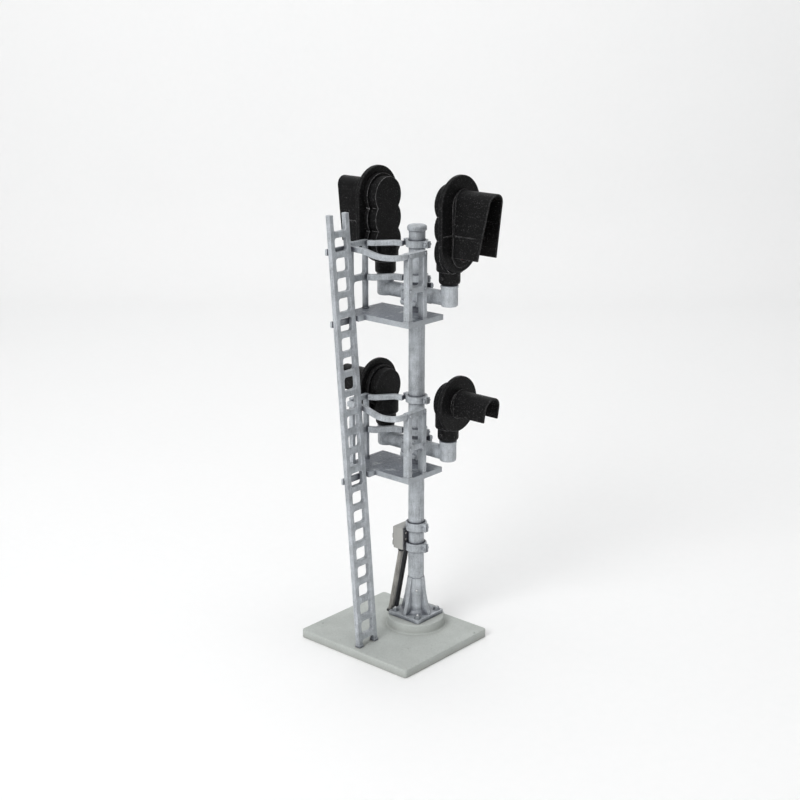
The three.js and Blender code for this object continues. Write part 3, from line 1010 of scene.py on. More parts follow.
# ---------------------------------------------------------------------------- base and mast
@dataclass
class GroundBase:
    """The concrete slab and the round pedestal that the mast is bolted to."""

    corner: float = 0.55
    arris: float = 0.18
    pedestal_radius: float = 5.45
    pedestal_height: float = 1.85
    cove: float = 0.3
    shoulder: float = 0.28
    taper: float = 0.05
    pits: tuple[tuple[float, float, float], ...] = (
        (-12.95, -11.97, 0.22), (11.31, 3.59, 0.26), (6.4, -9.6, 0.12), (-9.2, 4.1, 0.15))

    def build(self) -> None:
        """Model and place the slab and the pedestal."""
        self.build_slab()
        self.build_pedestal()

    def build_slab(self) -> None:
        """The slab, with rounded corners and arrises and a few cast-in pits."""
        span = span_of("base_slab")
        slab = block(span.low, (span.high.x, span.high.y, SLAB_THICK))
        with shaping(slab):
            choose(Pick.EDGES, upright_edge)
            bpy.ops.mesh.bevel(offset=self.corner, segments=5)
        softened(slab, self.arris, 3)
        for x, y, radius in self.pits:
            bpy.ops.mesh.primitive_uv_sphere_add(
                segments=14, ring_count=8, radius=radius, location=(x, y, SLAB_THICK + radius * 0.2))
            cut(slab, applied(bpy.context.active_object))
        settle(slab, "ground_slab", CONCRETE, "base_slab")

    def build_pedestal(self) -> None:
        """The pedestal, with a cove at its foot and a worn shoulder."""
        radius, top = self.pedestal_radius, SLAB_THICK + self.pedestal_height
        arc = (0.0, 0.4, 0.8, 1.2, math.pi / 2)
        foot = [
            (radius + self.cove * (1 - math.sin(a)), SLAB_THICK + self.cove * (1 - math.cos(a)))
            for a in arc]
        edge = [
            (radius - self.taper - self.shoulder * (1 - math.cos(a)),
             top - self.shoulder * (1 - math.sin(a)))
            for a in arc]
        profile = [(foot[0][0], SLAB_THICK - 0.2), *foot, *edge]
        settle(turned(profile, 96), "round_pedestal", CONCRETE)


@dataclass
class MastColumn:
    """The tube, its cap, the finned foot and the anchor nuts."""

    radius: float = 1.48
    seams: tuple[float, ...] = (27.0, 52.5)
    seam_half: float = 0.08
    seam_depth: float = 0.035
    plate_thick: float = 0.75
    plate_corner: float = 0.25
    gusset: float = 0.75
    gusset_foot: float = 3.4
    gusset_head: float = 1.64
    gusset_knee: float = 2.6
    arris: float = 0.09
    stud_height: float = 4.7
    nut: HexBolt = HexBolt(across=0.95, head=0.42, washer=0.12)

    def build(self) -> None:
        """Model and place the mast's pieces."""
        self.build_tube()
        self.build_cap()
        self.build_foot()
        self.build_anchors()

    def build_tube(self) -> None:
        """The tube, with a fine rolled seam between its lengths."""
        span = span_of("mast_tube")
        profile = [(self.radius, span.low.z)]
        for seam in self.seams:
            profile += [
                (self.radius, seam - self.seam_half), (self.radius - self.seam_depth, seam),
                (self.radius, seam + self.seam_half)]
        profile.append((self.radius, span.high.z))
        settle(turned(profile), "mast_pole", GREY, "mast_tube")

    def build_cap(self) -> None:
        """The domed cap, with its lip."""
        span = span_of("mast_cap")
        lip, low, high = span.size.x / 2, span.low.z, span.high.z
        profile = [
            (self.radius, low), (lip - 0.06, low + 0.14), (lip, low + 0.24),
            (lip, high - 0.5), (lip - 0.05, high - 0.34), (lip - 0.17, high - 0.2),
            (lip - 0.36, high - 0.1), (lip - 0.8, high - 0.03), (lip * 0.3, high)]
        settle(turned(profile), "mast_top_cap", GREY, "mast_cap")

    def build_foot(self) -> None:
        """The bolted plate, the sleeve and its four gussets."""
        span = span_of("mast_foot")
        plate_top = span.low.z + self.plate_thick
        half = span.size.x / 2
        plate = block(span.low, (half, half, plate_top))
        with shaping(plate):
            choose(Pick.EDGES, upright_edge)
            bpy.ops.mesh.bevel(offset=self.plate_corner, segments=3)
        sleeve = turned([
            (2.3, plate_top - 0.3), (2.25, plate_top + 0.1), (2.02, plate_top + 0.4),
            (1.87, plate_top + 0.8), (1.85, span.high.z - 2.6), (1.76, span.high.z - 1.4),
            (1.64, span.high.z - 0.5), (1.57, span.high.z - 0.15)])
        gussets = [self.build_gusset(plate_top, span.high.z, 90 * quarter) for quarter in range(4)]
        foot = joined(softened(plate, self.arris), sleeve, *gussets)
        settle(foot, "finned_foot", GREY, "mast_foot")
        stud = turned([(0.24, 0), (0.24, 0.18), (0.18, 0.26), (0.08, 0.3)], 24)
        moved(stud, (1.8, 0, 0), FACING_EAST)
        moved(stud, (0, 0, plate_top + self.stud_height), (0, 0, -45))
        settle(stud, "earth_stud", STEEL)

    def build_gusset(self, low: float, high: float, turn: float) -> bpy.types.Object:
        """One gusset, tapered up to the top of the sleeve and slightly hollow.

        Args:
            low: The height of the foot plate's top.
            high: The height of the sleeve's top.
            turn: Which way it stands, in degrees from +X.

        Returns:
            The gusset.
        """
        knee = low + self.gusset_knee
        fin = block((1.0, -self.gusset / 2, low - 0.2), (self.gusset_foot, self.gusset / 2, high))
        with shaping(fin):
            choose(Pick.VERTS, lambda v: v.co.x > 1.5 and v.co.z > low + 1)
            bpy.ops.transform.translate(value=(self.gusset_head - self.gusset_foot, 0, 0))
            choose(Pick.FACES, lambda f: f.normal.x > 0.5)
            bpy.ops.mesh.bisect(plane_co=(0, 0, knee), plane_no=(0, 0, 1))
            choose(Pick.VERTS, lambda v: v.co.x > 1.5 and abs(v.co.z - knee) < 0.01)
            bpy.ops.transform.translate(value=(-0.12, 0, 0))
        return softened(moved(fin, (0, 0, 0), (0, 0, turn)), self.arris)

    def build_anchors(self) -> None:
        """The four nuts on their washers and studs."""
        nut = self.nut.build()
        tip = turned([(0.22, 0.4), (0.22, 0.66), (0.17, 0.74), (0.07, 0.78)], 20)
        for index in range(1, 5):
            node = f"anchor_nut_{index}"
            span = span_of(node)
            place, turn = (span.centre.x, span.centre.y, span.low.z), (0, 0, 17.0 * index)
            settle(moved(twin(nut), place, turn), f"anchor_{index}", NUT_GREY, node, smooth=30.0)
            settle(moved(twin(tip), place, turn), f"anchor_tip_{index}", STEEL)
        bpy.data.objects.remove(nut)
        bpy.data.objects.remove(tip)


@dataclass
class JunctionBox:
    """The cable box on the mast, its hinged cover, its two collars and two conduits."""

    arris: float = 0.14
    hollow: float = 2.15
    shade_plate_low: float = 18.3
    shade_plate_high: float = 20.5
    panel_inset: float = 0.42
    panel_raise: float = 0.09
    slit: float = 0.14
    lug_middle: float = 0.34
    lug_face: float = 0.48
    pipe_radius: float = 0.5
    lug_bolt: HexBolt = HexBolt(across=0.45, head=0.16, washer=0.06)

    def build(self) -> None:
        """Model and place the box and all that holds it."""
        self.build_box()
        self.build_shade_plate()
        self.build_cover()
        self.build_collars()
        self.build_conduits()

    def build_box(self) -> None:
        """The box, hollowed where it fits round the mast."""
        span = span_of("junction_box")
        box = softened(block(span.low, span.high), self.arris, 3)
        cut(box, drum(self.hollow, span.low.z - 1, span.high.z + 1))
        settle(box, "cable_box", BOX_GREY, "junction_box")

    def build_shade_plate(self) -> None:
        """A dark plate between the box and the mast, painted shade that stands for the shadow in the gap
        there, and its screws.
        """
        span, low, high = span_of("junction_box"), self.shade_plate_low, self.shade_plate_high
        shade_plate = softened(block(
            (span.high.x - 0.25, span.low.y + 0.35, low),
            (span.high.x + 0.3, span.high.y - 0.35, high)), 0.06)
        cut(shade_plate, drum(1.52, low - 1, high + 1, 48))
        # The dark plate is painted shade in the gap between the box and the mast.
        settle(shade_plate, "box_shade_plate", PIPE_DARK)
        screws = []
        for height in (low + 0.5, high - 0.5):
            screw = turned([(0.2, 0), (0.2, 0.1), (0.12, 0.18)], 16)
            screws.append(moved(screw, (span.high.x + 0.28, span.low.y + 0.6, height), FACING_EAST))
        settle(joined(*screws), "shade_plate_screws", PALE_PIPE)

    def build_cover(self) -> None:
        """The cover with its raised panel, hinges and turn-button."""
        span = span_of("junction_cover")
        cover = block(span.low, span.high)
        with shaping(cover):
            choose(Pick.FACES, lambda f: f.normal.x < -0.9)
            bpy.ops.mesh.inset(thickness=self.panel_inset, depth=0)
            bpy.ops.mesh.inset(thickness=0.1, depth=-self.panel_raise)
        settle(softened(cover, 0.05), "box_cover", BOX_GREY, "junction_cover")
        knuckles = []
        for share in (0.18, 0.54):
            height = span.low.z + span.size.z * share
            knuckle = softened(drum(0.2, -0.42, 0.42, 20), 0.05)
            knuckles.append(moved(knuckle, (span.high.x - 0.08, span.low.y - 0.16, height)))
        settle(joined(*knuckles), "box_hinges", BOX_GREY)
        knob = turned([(0.3, 0), (0.3, 0.1), (0.14, 0.14), (0.14, 0.22)], 24)
        wing = softened(block((-0.09, -0.3, 0.18), (0.09, 0.3, 0.42)), 0.05)
        place = (span.low.x, span.high.y - 0.55, span.centre.z)
        settle(moved(joined(knob, wing), place, FACING_WEST), "box_button", STEEL)

    def build_collars(self) -> None:
        """The two split collars and the bolts through their lugs."""
        for name in ("lower", "upper"):
            node = f"box_collar_{name}"
            span = span_of(node)
            collar = softened(copy_of_node(node), 0.15, 3, 40.0)
            cut(collar, block(
                (1.75, -self.slit / 2, span.low.z - 1), (5, self.slit / 2, span.high.z + 1)))
            settle(collar, f"collar_{name}", GREY, node)
            x = span.high.x - self.lug_middle
            self.lug_bolt.fit(f"collar_bolt_{name}", [
                ((x, self.lug_face, span.centre.z), FACING_NORTH),
                ((x, -self.lug_face, span.centre.z), FACING_SOUTH)])

    def build_conduits(self) -> None:
        """The two slanting conduits, with a gland nut at the box and a bush at the foot."""
        # The front conduit's paler paint is painted light.
        for name, finish in (("front", PALE_PIPE), ("rear", PIPE_DARK)):
            node = f"conduit_{name}"
            span = span_of(node)
            inset = Vector((self.pipe_radius, self.pipe_radius, 0))
            foot, head = span.low + inset, span.high - inset
            pipe = moved(drum(self.pipe_radius, foot.z, head.z, 32), (foot.x, foot.y, 0))
            with shaping(pipe):
                choose(Pick.VERTS, lambda v, top=head.z: v.co.z > top - 0.01)
                bpy.ops.transform.translate(value=(head.x - foot.x, head.y - foot.y, 0))
            settle(pipe, f"conduit_pipe_{name}", finish, node)
            gland = softened(drum(0.68, head.z - 0.75, head.z, 6), 0.06)
            moved(gland, (head.x - 0.05, head.y - 0.03, 0))
            bush = turned([(0.8, foot.z), (0.78, foot.z + 0.12), (0.6, foot.z + 0.3)], 32)
            moved(bush, (foot.x + 0.02, foot.y, 0))
            settle(joined(gland, bush), f"conduit_fittings_{name}", PIPE_DARK)


# ---------------------------------------------------------------------------- ladder
@dataclass
class Ladder:
    """The leaning ladder, its shoes and the bars that tie it to the platforms."""

    lean: float = -0.079
    foot_x: float = -0.85
    depth: float = 0.95
    rail: float = 1.0
    rung_height: float = 1.05
    first_rung: float = 1.8
    pitch: float = 3.51
    rungs: int = 22
    corner: float = 0.5
    shoe_half: float = 0.62
    shoe_height: float = 0.55
    shoe_lip: float = 0.08
    tie_proud: float = 0.3
    tie_deep: float = 0.12
    tie_bolt: HexBolt = HexBolt(across=0.5, head=0.22, washer=0.07)

    def build(self) -> None:
        """Model and place the ladder, its shoes and its ties."""
        self.build_ladder()
        self.build_shoes()
        self.build_ties()

    def leaned(self, piece: bpy.types.Object) -> bpy.types.Object:
        """Lean a piece that is modelled upright, so that its points move along X with height.

        Args:
            piece: The piece.

        Returns:
            The same piece.
        """
        for vertex in piece.data.vertices:
            vertex.co.x += self.foot_x + self.lean * (vertex.co.z - SLAB_THICK)
        return piece

    def build_ladder(self) -> None:
        """Both stiles and all the rungs as one pressing."""
        span = span_of("ladder")
        inner = (span.low.y + self.rail, span.high.y - self.rail)
        rungs = [SLAB_THICK + self.first_rung + index * self.pitch for index in range(self.rungs)]
        half_rung, half = self.rung_height / 2, self.depth / 2
        floors = [span.low.z - 1, *[rung + half_rung for rung in rungs]]
        ceilings = [*[rung - half_rung for rung in rungs], span.high.z + 1]
        windows = [(*inner, low, high) for low, high in zip(floors, ceilings)]
        plate = window_plate(
            (-half, span.low.y, span.low.z), (half, span.high.y, span.high.z), windows, self.corner)
        settle(softened(self.leaned(plate), 0.13, 3), "leaning_ladder", GREY, "ladder")

    def build_shoes(self) -> None:
        """A flat shoe under each stile."""
        span = span_of("ladder")
        shoes = []
        for low in (span.low.y, span.high.y - self.rail):
            shoe = block(
                (-self.shoe_half, low - self.shoe_lip, 0),
                (self.shoe_half, low + self.rail + self.shoe_lip, self.shoe_height))
            with shaping(shoe):
                choose(Pick.FACES, lambda f: f.normal.z > 0.9)
                bpy.ops.transform.resize(
                    value=(0.86, 0.92, 1), center_override=(0, low + 0.5, self.shoe_height))
            shoes.append(moved(softened(shoe, 0.09), (self.foot_x, 0, SLAB_THICK)))
        settle(joined(*shoes), "ladder_shoes", GREY)

    def build_ties(self) -> None:
        """The bars behind the ladder, with a bolt head at each stile."""
        for name in ("lower", "upper", "rail"):
            node = f"ladder_tie_{name}"
            span = span_of(node)
            tie = block(
                span.low - Vector((0, self.tie_proud, self.tie_deep)),
                span.high + Vector((0, 0, self.tie_deep)))
            settle(softened(tie, 0.12, 3), f"tie_bar_{name}", GREY, node)
            self.tie_bolt.fit(f"tie_bolts_{name}", [
                ((span.low.x + 0.03, y, span.centre.z), FACING_WEST)
                for y in (span.low.y + 0.35, span.high.y - 0.5)])


# ---------------------------------------------------------------------------- platforms
@dataclass(frozen=True)
class EndPanel:
    """The sizes of an end panel: its posts, its middle bar and its top bar."""

    stem: str
    near_post: float
    far_post: float
    bar_low: float
    bar_high: float
    top_bar: float = 0.95
    deeper: float = 0.0


@dataclass
class Platform:
    """One railed platform with its clamps, bracket and arms."""

    level: Level
    board: float = 0.62
    groove: float = 0.13
    groove_depth: float = 0.09
    narrow_from: float = -8.45
    narrow_reach: tuple[float, float] = (-8.75, 4.3)
    window_corner: float = 0.5
    slit: float = 0.12
    lug_middle: float = 0.36
    lug_face: float = 0.48
    plate_faces: tuple[float, float] = (1.55, 2.2)
    plate_bolt_inset: float = 0.6
    arm_radius: float = 1.35
    arm_start: float = 1.62
    elbow_x: float = 7.5
    panels: tuple[EndPanel, ...] = (
        EndPanel("west_panel", 0.8, 0.8, 5.3, 6.4),
        EndPanel("east_panel", 1.05, 1.0, 5.0, 6.05, deeper=0.25))
    rail_bolt: HexBolt = HexBolt(across=0.5, head=0.2, washer=0.07)
    clamp_bolt: HexBolt = HexBolt(across=0.5, head=0.25, washer=0.08)
    plate_bolt: HexBolt = HexBolt(across=0.8, head=0.3, washer=0.1)

    def build(self) -> None:
        """Model and place everything at this level."""
        self.build_floor()
        for panel in self.panels:
            self.build_panel(panel)
        self.build_rails()
        self.build_clamps()
        self.build_saddles()
        self.build_arms()

    def here(self, stem: str) -> str:
        """A name for this level, as the CAD nodes have it."""
        return f"{stem}_{self.level.value}"

    def build_floor(self) -> None:
        """The floor, grooved into boards along X."""
        node = self.here("floor")
        span = span_of(node)
        top = span.high.z
        cutters = []
        y = span.low.y + self.board
        while y < span.high.y - 0.2:
            reach = self.narrow_reach if y > self.narrow_from else (span.low.x, span.high.x)
            cutters.append(block(
                (reach[0], y, top - self.groove_depth), (reach[1], y + self.groove, top + 1)))
            y += self.board + self.groove
        deck = cut(copy_of_node(node), joined(*cutters))
        # The deck paint darkens the deck's upward faces as painted shade.
        settle(softened(deck, 0.05), self.here("deck"), SHADED_DECK_GREY, node, smooth=30.0)

    def build_panel(self, panel: EndPanel) -> None:
        """An end panel: two posts on feet, with a top bar and a middle bar.

        Args:
            panel: Its sizes.
        """
        node = self.here(panel.stem)
        span = span_of(node)
        span.low.x -= panel.deeper
        low, high = span.low, span.high
        inner = (low.y + panel.near_post, high.y - panel.far_post)
        windows = [
            (*inner, low.z - 1, low.z + panel.bar_low),
            (*inner, low.z + panel.bar_high, high.z - panel.top_bar)]
        ends = softened(window_plate(low, high, windows, self.window_corner), 0.12, 3)
        settle(ends, self.here(f"{panel.stem}_frame"), GREY, node)
        feet = []
        for y0, y1 in ((low.y, inner[0]), (inner[1], high.y)):
            foot = block((low.x - 0.1, y0 - 0.08, low.z - 0.02), (high.x + 0.1, y1 + 0.08, low.z + 0.2))
            feet.append(softened(foot, 0.07))
        settle(joined(*feet), self.here(f"{panel.stem}_feet"), GREY)

    def build_rails(self) -> None:
        """The bowed hoop rail and the two back rails, with bolts at the hoop's ends."""
        for stem in ("hoop_rail", "back_rail", "mid_rail"):
            node = self.here(stem)
            rail = softened(copy_of_node(node), 0.14, 3, 50.0)
            settle(rail, self.here(f"{stem}_bar"), GREY, node, smooth=50.0)
        panel = span_of(self.here("east_panel"))
        hoop = span_of(self.here("hoop_rail"))
        self.rail_bolt.fit(self.here("rail_bolts"), [
            ((panel.high.x - 0.02, y, z), FACING_EAST)
            for z in (hoop.centre.z, panel.low.z + 5.5)
            for y in (panel.low.y + 0.48, panel.high.y - 0.58)])

    def build_clamps(self) -> None:
        """The two-lugged clamps that hold the back rails, and their bolts."""
        for stem in ("back_clamp", "mid_clamp"):
            node = self.here(stem)
            span = span_of(node)
            clamp = softened(copy_of_node(node), 0.08, 2, 40.0)
            for x0, x1 in ((-5, -1.75), (1.75, 5)):
                cut(clamp, block(
                    (x0, -self.slit / 2, span.low.z - 1), (x1, self.slit / 2, span.high.z + 1)))
            settle(clamp, self.here(f"{stem}_band"), GREY, node)
            x = span.high.x - self.lug_middle
            self.clamp_bolt.fit(self.here(f"{stem}_bolts"), [
                ((-x, self.lug_face, span.centre.z), FACING_NORTH),
                ((x, self.lug_face, span.centre.z), FACING_NORTH),
                ((x, -self.lug_face, span.centre.z), FACING_SOUTH)])

    def build_saddles(self) -> None:
        """The two bracket plates across the mast, with four bolts in each."""
        for name, sign, facing in (("front", -1, FACING_SOUTH), ("rear", 1, FACING_NORTH)):
            node = self.here(f"bracket_{name}")
            low, high = span_of(node).low, span_of(node).high
            faces = sorted(sign * face for face in self.plate_faces)
            plate = block((low.x, faces[0], low.z), (high.x, faces[1], high.z))
            with shaping(plate):
                choose(Pick.FACES, lambda f, way=sign: f.normal.y * way > 0.9)
                bpy.ops.mesh.inset(thickness=0.75, depth=0)
                bpy.ops.mesh.inset(thickness=0.12, depth=0.1)
            settle(softened(plate, 0.1), self.here(f"saddle_{name}"), GREY, node)
            inset = self.plate_bolt_inset
            self.plate_bolt.fit(self.here(f"saddle_bolts_{name}"), [
                ((x, sign * 2.18, z), facing)
                for x in (low.x + inset, high.x - inset) for z in (low.z + inset, high.z - inset)])

    def build_arms(self) -> None:
        """The two pipe arms, each with its elbow and the spigot that a head turns on."""
        for side in Side:
            node = self.here(f"arm_{side.value}")
            low = span_of(node).low.z
            pipe = drum(self.arm_radius, self.arm_start, self.elbow_x)
            moved(pipe, (0, 0, low + 1.3), FACING_EAST)
            elbow = turned([
                (1.15, low), (1.38, low + 0.06), (1.49, low + 0.2), (1.52, low + 0.4),
                (1.52, low + 3.35), (1.6, low + 3.42), (1.6, low + 3.75), (1.5, low + 3.85),
                (0.8, low + 3.85), (0.8, low + 5.05), (0.7, low + 5.15)])
            moved(elbow, (self.elbow_x, 0, 0))
            arm = softened(welded(pipe, elbow), 0.1, 3, 28.0)
            if side is Side.WEST:
                moved(arm, (0, 0, 0), (0, 0, 180))
            settle(arm, self.here(f"arm_pipe_{side.value}"), GREY, node)


# ---------------------------------------------------------------------------- signal heads
@dataclass
class SignalHead:
    """One head: backing plate, stepped lamp cans, neck, hood and lenses.

    It is modelled looking along +X, with its swivel on the z axis and height 0 at the elbow top.
    """

    level: Level
    side: Side
    plate_radius: float
    plate_low: float
    plate_high: float
    lamps: tuple[float, ...]
    hood_top: float
    hood_foot: float
    hood_arch: float
    hood_low: float
    hood_low_front: float
    seam: float | None = None
    pivot_x: float = 7.5
    plate_back: float = 1.62
    plate_front: float = 2.47
    face: float = 2.72
    panel_radius: float = 2.6
    ridge_front: float = 10.2
    wall: float = 0.33
    flange: float = 0.2
    spigot: float = 1.3

    @property
    def label(self) -> str:
        """The head's name among the four, as in its CAD nodes."""
        return f"{self.level.value}_{self.side.value}"

    @property
    def body(self) -> str:
        """The CAD body that the head turns with."""
        return f"{self.label}_head"

    def put(self, piece: bpy.types.Object, stem: str, *nodes: str,
            finish: Finish = BLACK, smooth: float = 40.0) -> None:
        """Set a piece of the head on its swivel and settle it.

        Args:
            piece: The piece, in the head's own frame.
            stem: The first words of its name.
            nodes: The CAD nodes that it stands for.
            finish: What it is coated with.
            smooth: The sharpest angle that is shaded smooth, in degrees.
        """
        elbow_top = span_of(f"arm_{self.side.value}_{self.level.value}").high.z - self.spigot
        turn = 0 if self.side is Side.EAST else 180
        moved(piece, (self.side.sign * self.pivot_x, 0, elbow_top), (0, 0, turn))
        settle(piece, f"{stem}_{self.label}", finish, *nodes, body=self.body, smooth=smooth)

    def build(self) -> None:
        """Model and place the head's pieces."""
        self.build_plate()
        self.build_cans()
        self.build_neck()
        self.build_hood()
        self.build_lenses()

    def disc(self, radius: float, x0: float, x1: float, height: float) -> bpy.types.Object:
        """A disc across the X axis at a lamp's height."""
        return moved(drum(radius, x0, x1, 72), (0, 0, height), FACING_EAST)

    def obround(self, radius: float, low: float, high: float, x0: float, x1: float) -> bpy.types.Object:
        """A disc across the X axis, drawn out between two heights.

        Args:
            radius: The radius of its ends.
            low: The height of its lower centre.
            high: The height of its upper centre.
            x0: Where it starts.
            x1: Where it ends.

        Returns:
            The hull of its two end discs.
        """
        if high - low < 0.01:
            return self.disc(radius, x0, x1, low)
        shape = joined(self.disc(radius, x0, x1, low), self.disc(radius, x0, x1, high))
        with shaping(shape):
            bpy.ops.mesh.convex_hull()
            bpy.ops.mesh.select_all(action="SELECT")
            bpy.ops.mesh.dissolve_limited(angle_limit=math.radians(0.5))
        return shape

    def build_plate(self) -> None:
        """The backing plate with a rolled rim, and the raised panel that carries the lamps."""
        plate = self.obround(
            self.plate_radius, self.plate_low, self.plate_high, self.plate_back, self.plate_front)
        self.put(softened(plate, 0.2, 3), "backing_plate", f"head_{self.label}")
        panel = self.obround(
            self.panel_radius, self.lamps[-1], self.lamps[0], self.plate_front - 0.1, self.face)
        self.put(softened(panel, 0.1), "lamp_panel")
        if self.seam is not None:
            self.build_seam(self.seam)

    def build_seam(self, height: float) -> None:
        """The raised joint that runs across the plate and along the hood's walls.

        Args:
            height: Its height.
        """
        share = (self.hood_arch - height) / (self.hood_arch - self.hood_low)
        half = self.hood_top + (self.hood_foot - self.hood_top) * share
        strips = []
        for sign in (-1, 1):
            edges = sorted((sign * (half + 0.1), sign * (self.plate_radius - 0.35)))
            strips.append(block(
                (self.plate_front - 0.05, edges[0], height - 0.11),
                (self.plate_front + 0.1, edges[1], height + 0.11)))
            edges = sorted((sign * (half - 0.05), sign * (half + 0.1)))
            strips.append(block((self.face, edges[0], height - 0.1), (7.6, edges[1], height + 0.1)))
        self.put(softened(joined(*strips), 0.04), "seam_strip")

    def build_cans(self) -> None:
        """The lamp cans behind the plate, in two steps."""
        for stem, radius, x0, x1 in (
            ("lamp_cans", 3.9, 0.8, self.plate_back + 0.1),
            ("rear_cans", 3.38, -0.75, 0.9),
        ):
            cans = welded(*[self.disc(radius, x0, x1, height) for height in self.lamps])
            self.put(softened(cans, 0.16, 3), stem)

    def build_neck(self) -> None:
        """The hub under the cans, its collar and its set screw."""
        neck = turned([
            (1.55, 0.1), (1.72, 0.2), (1.86, 0.42), (1.9, 0.7), (1.9, 2.1), (2.0, 2.3),
            (2.28, 2.42), (2.35, 2.6), (2.35, 5.1), (2.2, 5.3)])
        cut(neck, block((self.plate_back + 0.3, -5, -1), (8, 5, 8)))
        cut(neck, drum(0.9, -1, 1.4, 48))
        self.put(softened(neck, 0.06, 2, 50.0), "neck")
        screw = turned([(0.3, 0), (0.3, 0.2), (0.24, 0.28), (0.1, 0.3)], 20)
        self.put(moved(screw, (0, -1.84, 1.3), FACING_SOUTH), "set_screw")

    def shell(self, top: float, foot: float, x0: float, x1: float, slant: bool) -> bpy.types.Object:
        """An open hood skin: an arch that runs down into two splayed walls.

        Args:
            top: The radius of the arch.
            foot: Half the width between the walls at their foot.
            x0: Where the skin starts.
            x1: Where it ends.
            slant: Whether its mouth is cut on the slant.

        Returns:
            The skin, one face thick.
        """
        bpy.ops.mesh.primitive_circle_add(vertices=64, radius=top)
        skin = moved(bpy.context.active_object, (x0, 0, self.hood_arch), (90, 0, 90))
        with shaping(skin, Pick.VERTS):
            choose(Pick.VERTS, lambda v: v.co.z < self.hood_arch - 0.001)
            bpy.ops.mesh.delete(type="VERT")
            for sign in (-1, 1):
                choose(Pick.VERTS, lambda v, way=sign: (
                    abs(v.co.z - self.hood_arch) < 0.001 and v.co.y * way > 0))
                bpy.ops.mesh.extrude_vertices_move(TRANSFORM_OT_translate={
                    "value": (0, sign * (foot - top), self.hood_low - self.hood_arch)})
            bpy.ops.mesh.select_all(action="SELECT")
            bpy.ops.mesh.extrude_edges_move(TRANSFORM_OT_translate={"value": (x1 - x0, 0, 0)})
            if slant:
                bpy.ops.mesh.select_all(action="SELECT")
                ridge = self.hood_arch + self.hood_top
                run = Vector((x1 - self.hood_low_front, 0, ridge - self.hood_low)).normalized()
                bpy.ops.mesh.bisect(
                    plane_co=(x1 - 0.001, 0, ridge), plane_no=(run.z, 0, -run.x), clear_outer=True)
        return skin

    def thickened(self, skin: bpy.types.Object, wall: float) -> bpy.types.Object:
        """Give a hood skin its wall, on the inside.

        Args:
            skin: The skin.
            wall: The thickness of the wall.

        Returns:
            The skin, closed.
        """
        with shaping(skin):
            bpy.ops.mesh.normals_make_consistent(inside=False)
        highest = max(skin.data.polygons, key=lambda face: face.center.z)
        if highest.normal.z < 0:
            with shaping(skin):
                bpy.ops.mesh.flip_normals()
        solidify = skin.modifiers.new("wall", "SOLIDIFY")
        solidify.thickness = wall
        solidify.offset = -1
        solidify.use_even_offset = True
        apply_modifier(skin, solidify)
        return skin

    def build_hood(self) -> None:
        """The hood with its slanted mouth, and the flange that holds it."""
        skin = self.shell(self.hood_top, self.hood_foot, self.face, self.ridge_front, True)
        hood = softened(self.thickened(skin, self.wall), 0.11, 3, 50.0)
        self.put(hood, "hood_shell", f"hood_{self.label}", smooth=50.0)
        flange = self.shell(
            self.hood_top + self.flange, self.hood_foot + self.flange,
            self.face - 0.02, self.face + 0.28, False)
        flange = softened(self.thickened(flange, self.flange + 0.1), 0.07, 2, 50.0)
        self.put(flange, "hood_flange", smooth=50.0)

    def build_lenses(self) -> None:
        """Each lens with its stepped rings, in a bezel."""
        for index, height in enumerate(self.lamps, 1):
            colour = index if self.level is Level.UPPER else len(LENSES)
            dome = turned([
                (1.2, 0), (1.2, 0.1), (1.05, 0.2), (0.98, 0.19), (0.82, 0.3), (0.75, 0.29),
                (0.55, 0.37), (0.48, 0.36), (0.25, 0.42), (0.08, 0.43)], 48)
            moved(dome, (self.face, 0, height), FACING_EAST)
            self.put(dome, f"lens_{index}", f"lens_{self.label}_{index}",
                     finish=LENSES[colour - 1], smooth=25.0)
            rim = turned([
                (1.6, 0), (1.57, 0.5), (1.5, 0.6), (1.36, 0.6), (1.27, 0.5), (1.22, 0.02)], 48)
            self.put(moved(rim, (self.face - 0.01, 0, height), FACING_EAST), f"bezel_{index}")


def heads() -> list[SignalHead]:
    """The four heads, tall ones above and round ones below.

    Returns:
        The heads, in the order in which they are built.
    """
    made = []
    for side in Side:
        made.append(SignalHead(
            Level.UPPER, side, plate_radius=5.2, plate_low=7.7, plate_high=14.1,
            lamps=(14.1, 10.0, 5.9), hood_top=1.95, hood_foot=2.7, hood_arch=14.85, hood_low=5.4,
            hood_low_front=8.2, seam=9.2))
        made.append(SignalHead(
            Level.LOWER, side, plate_radius=5.05, plate_low=7.2, plate_high=7.2, lamps=(7.2,),
            hood_top=2.08, hood_foot=2.08, hood_arch=7.66, hood_low=5.5, hood_low_front=9.6))
    return made


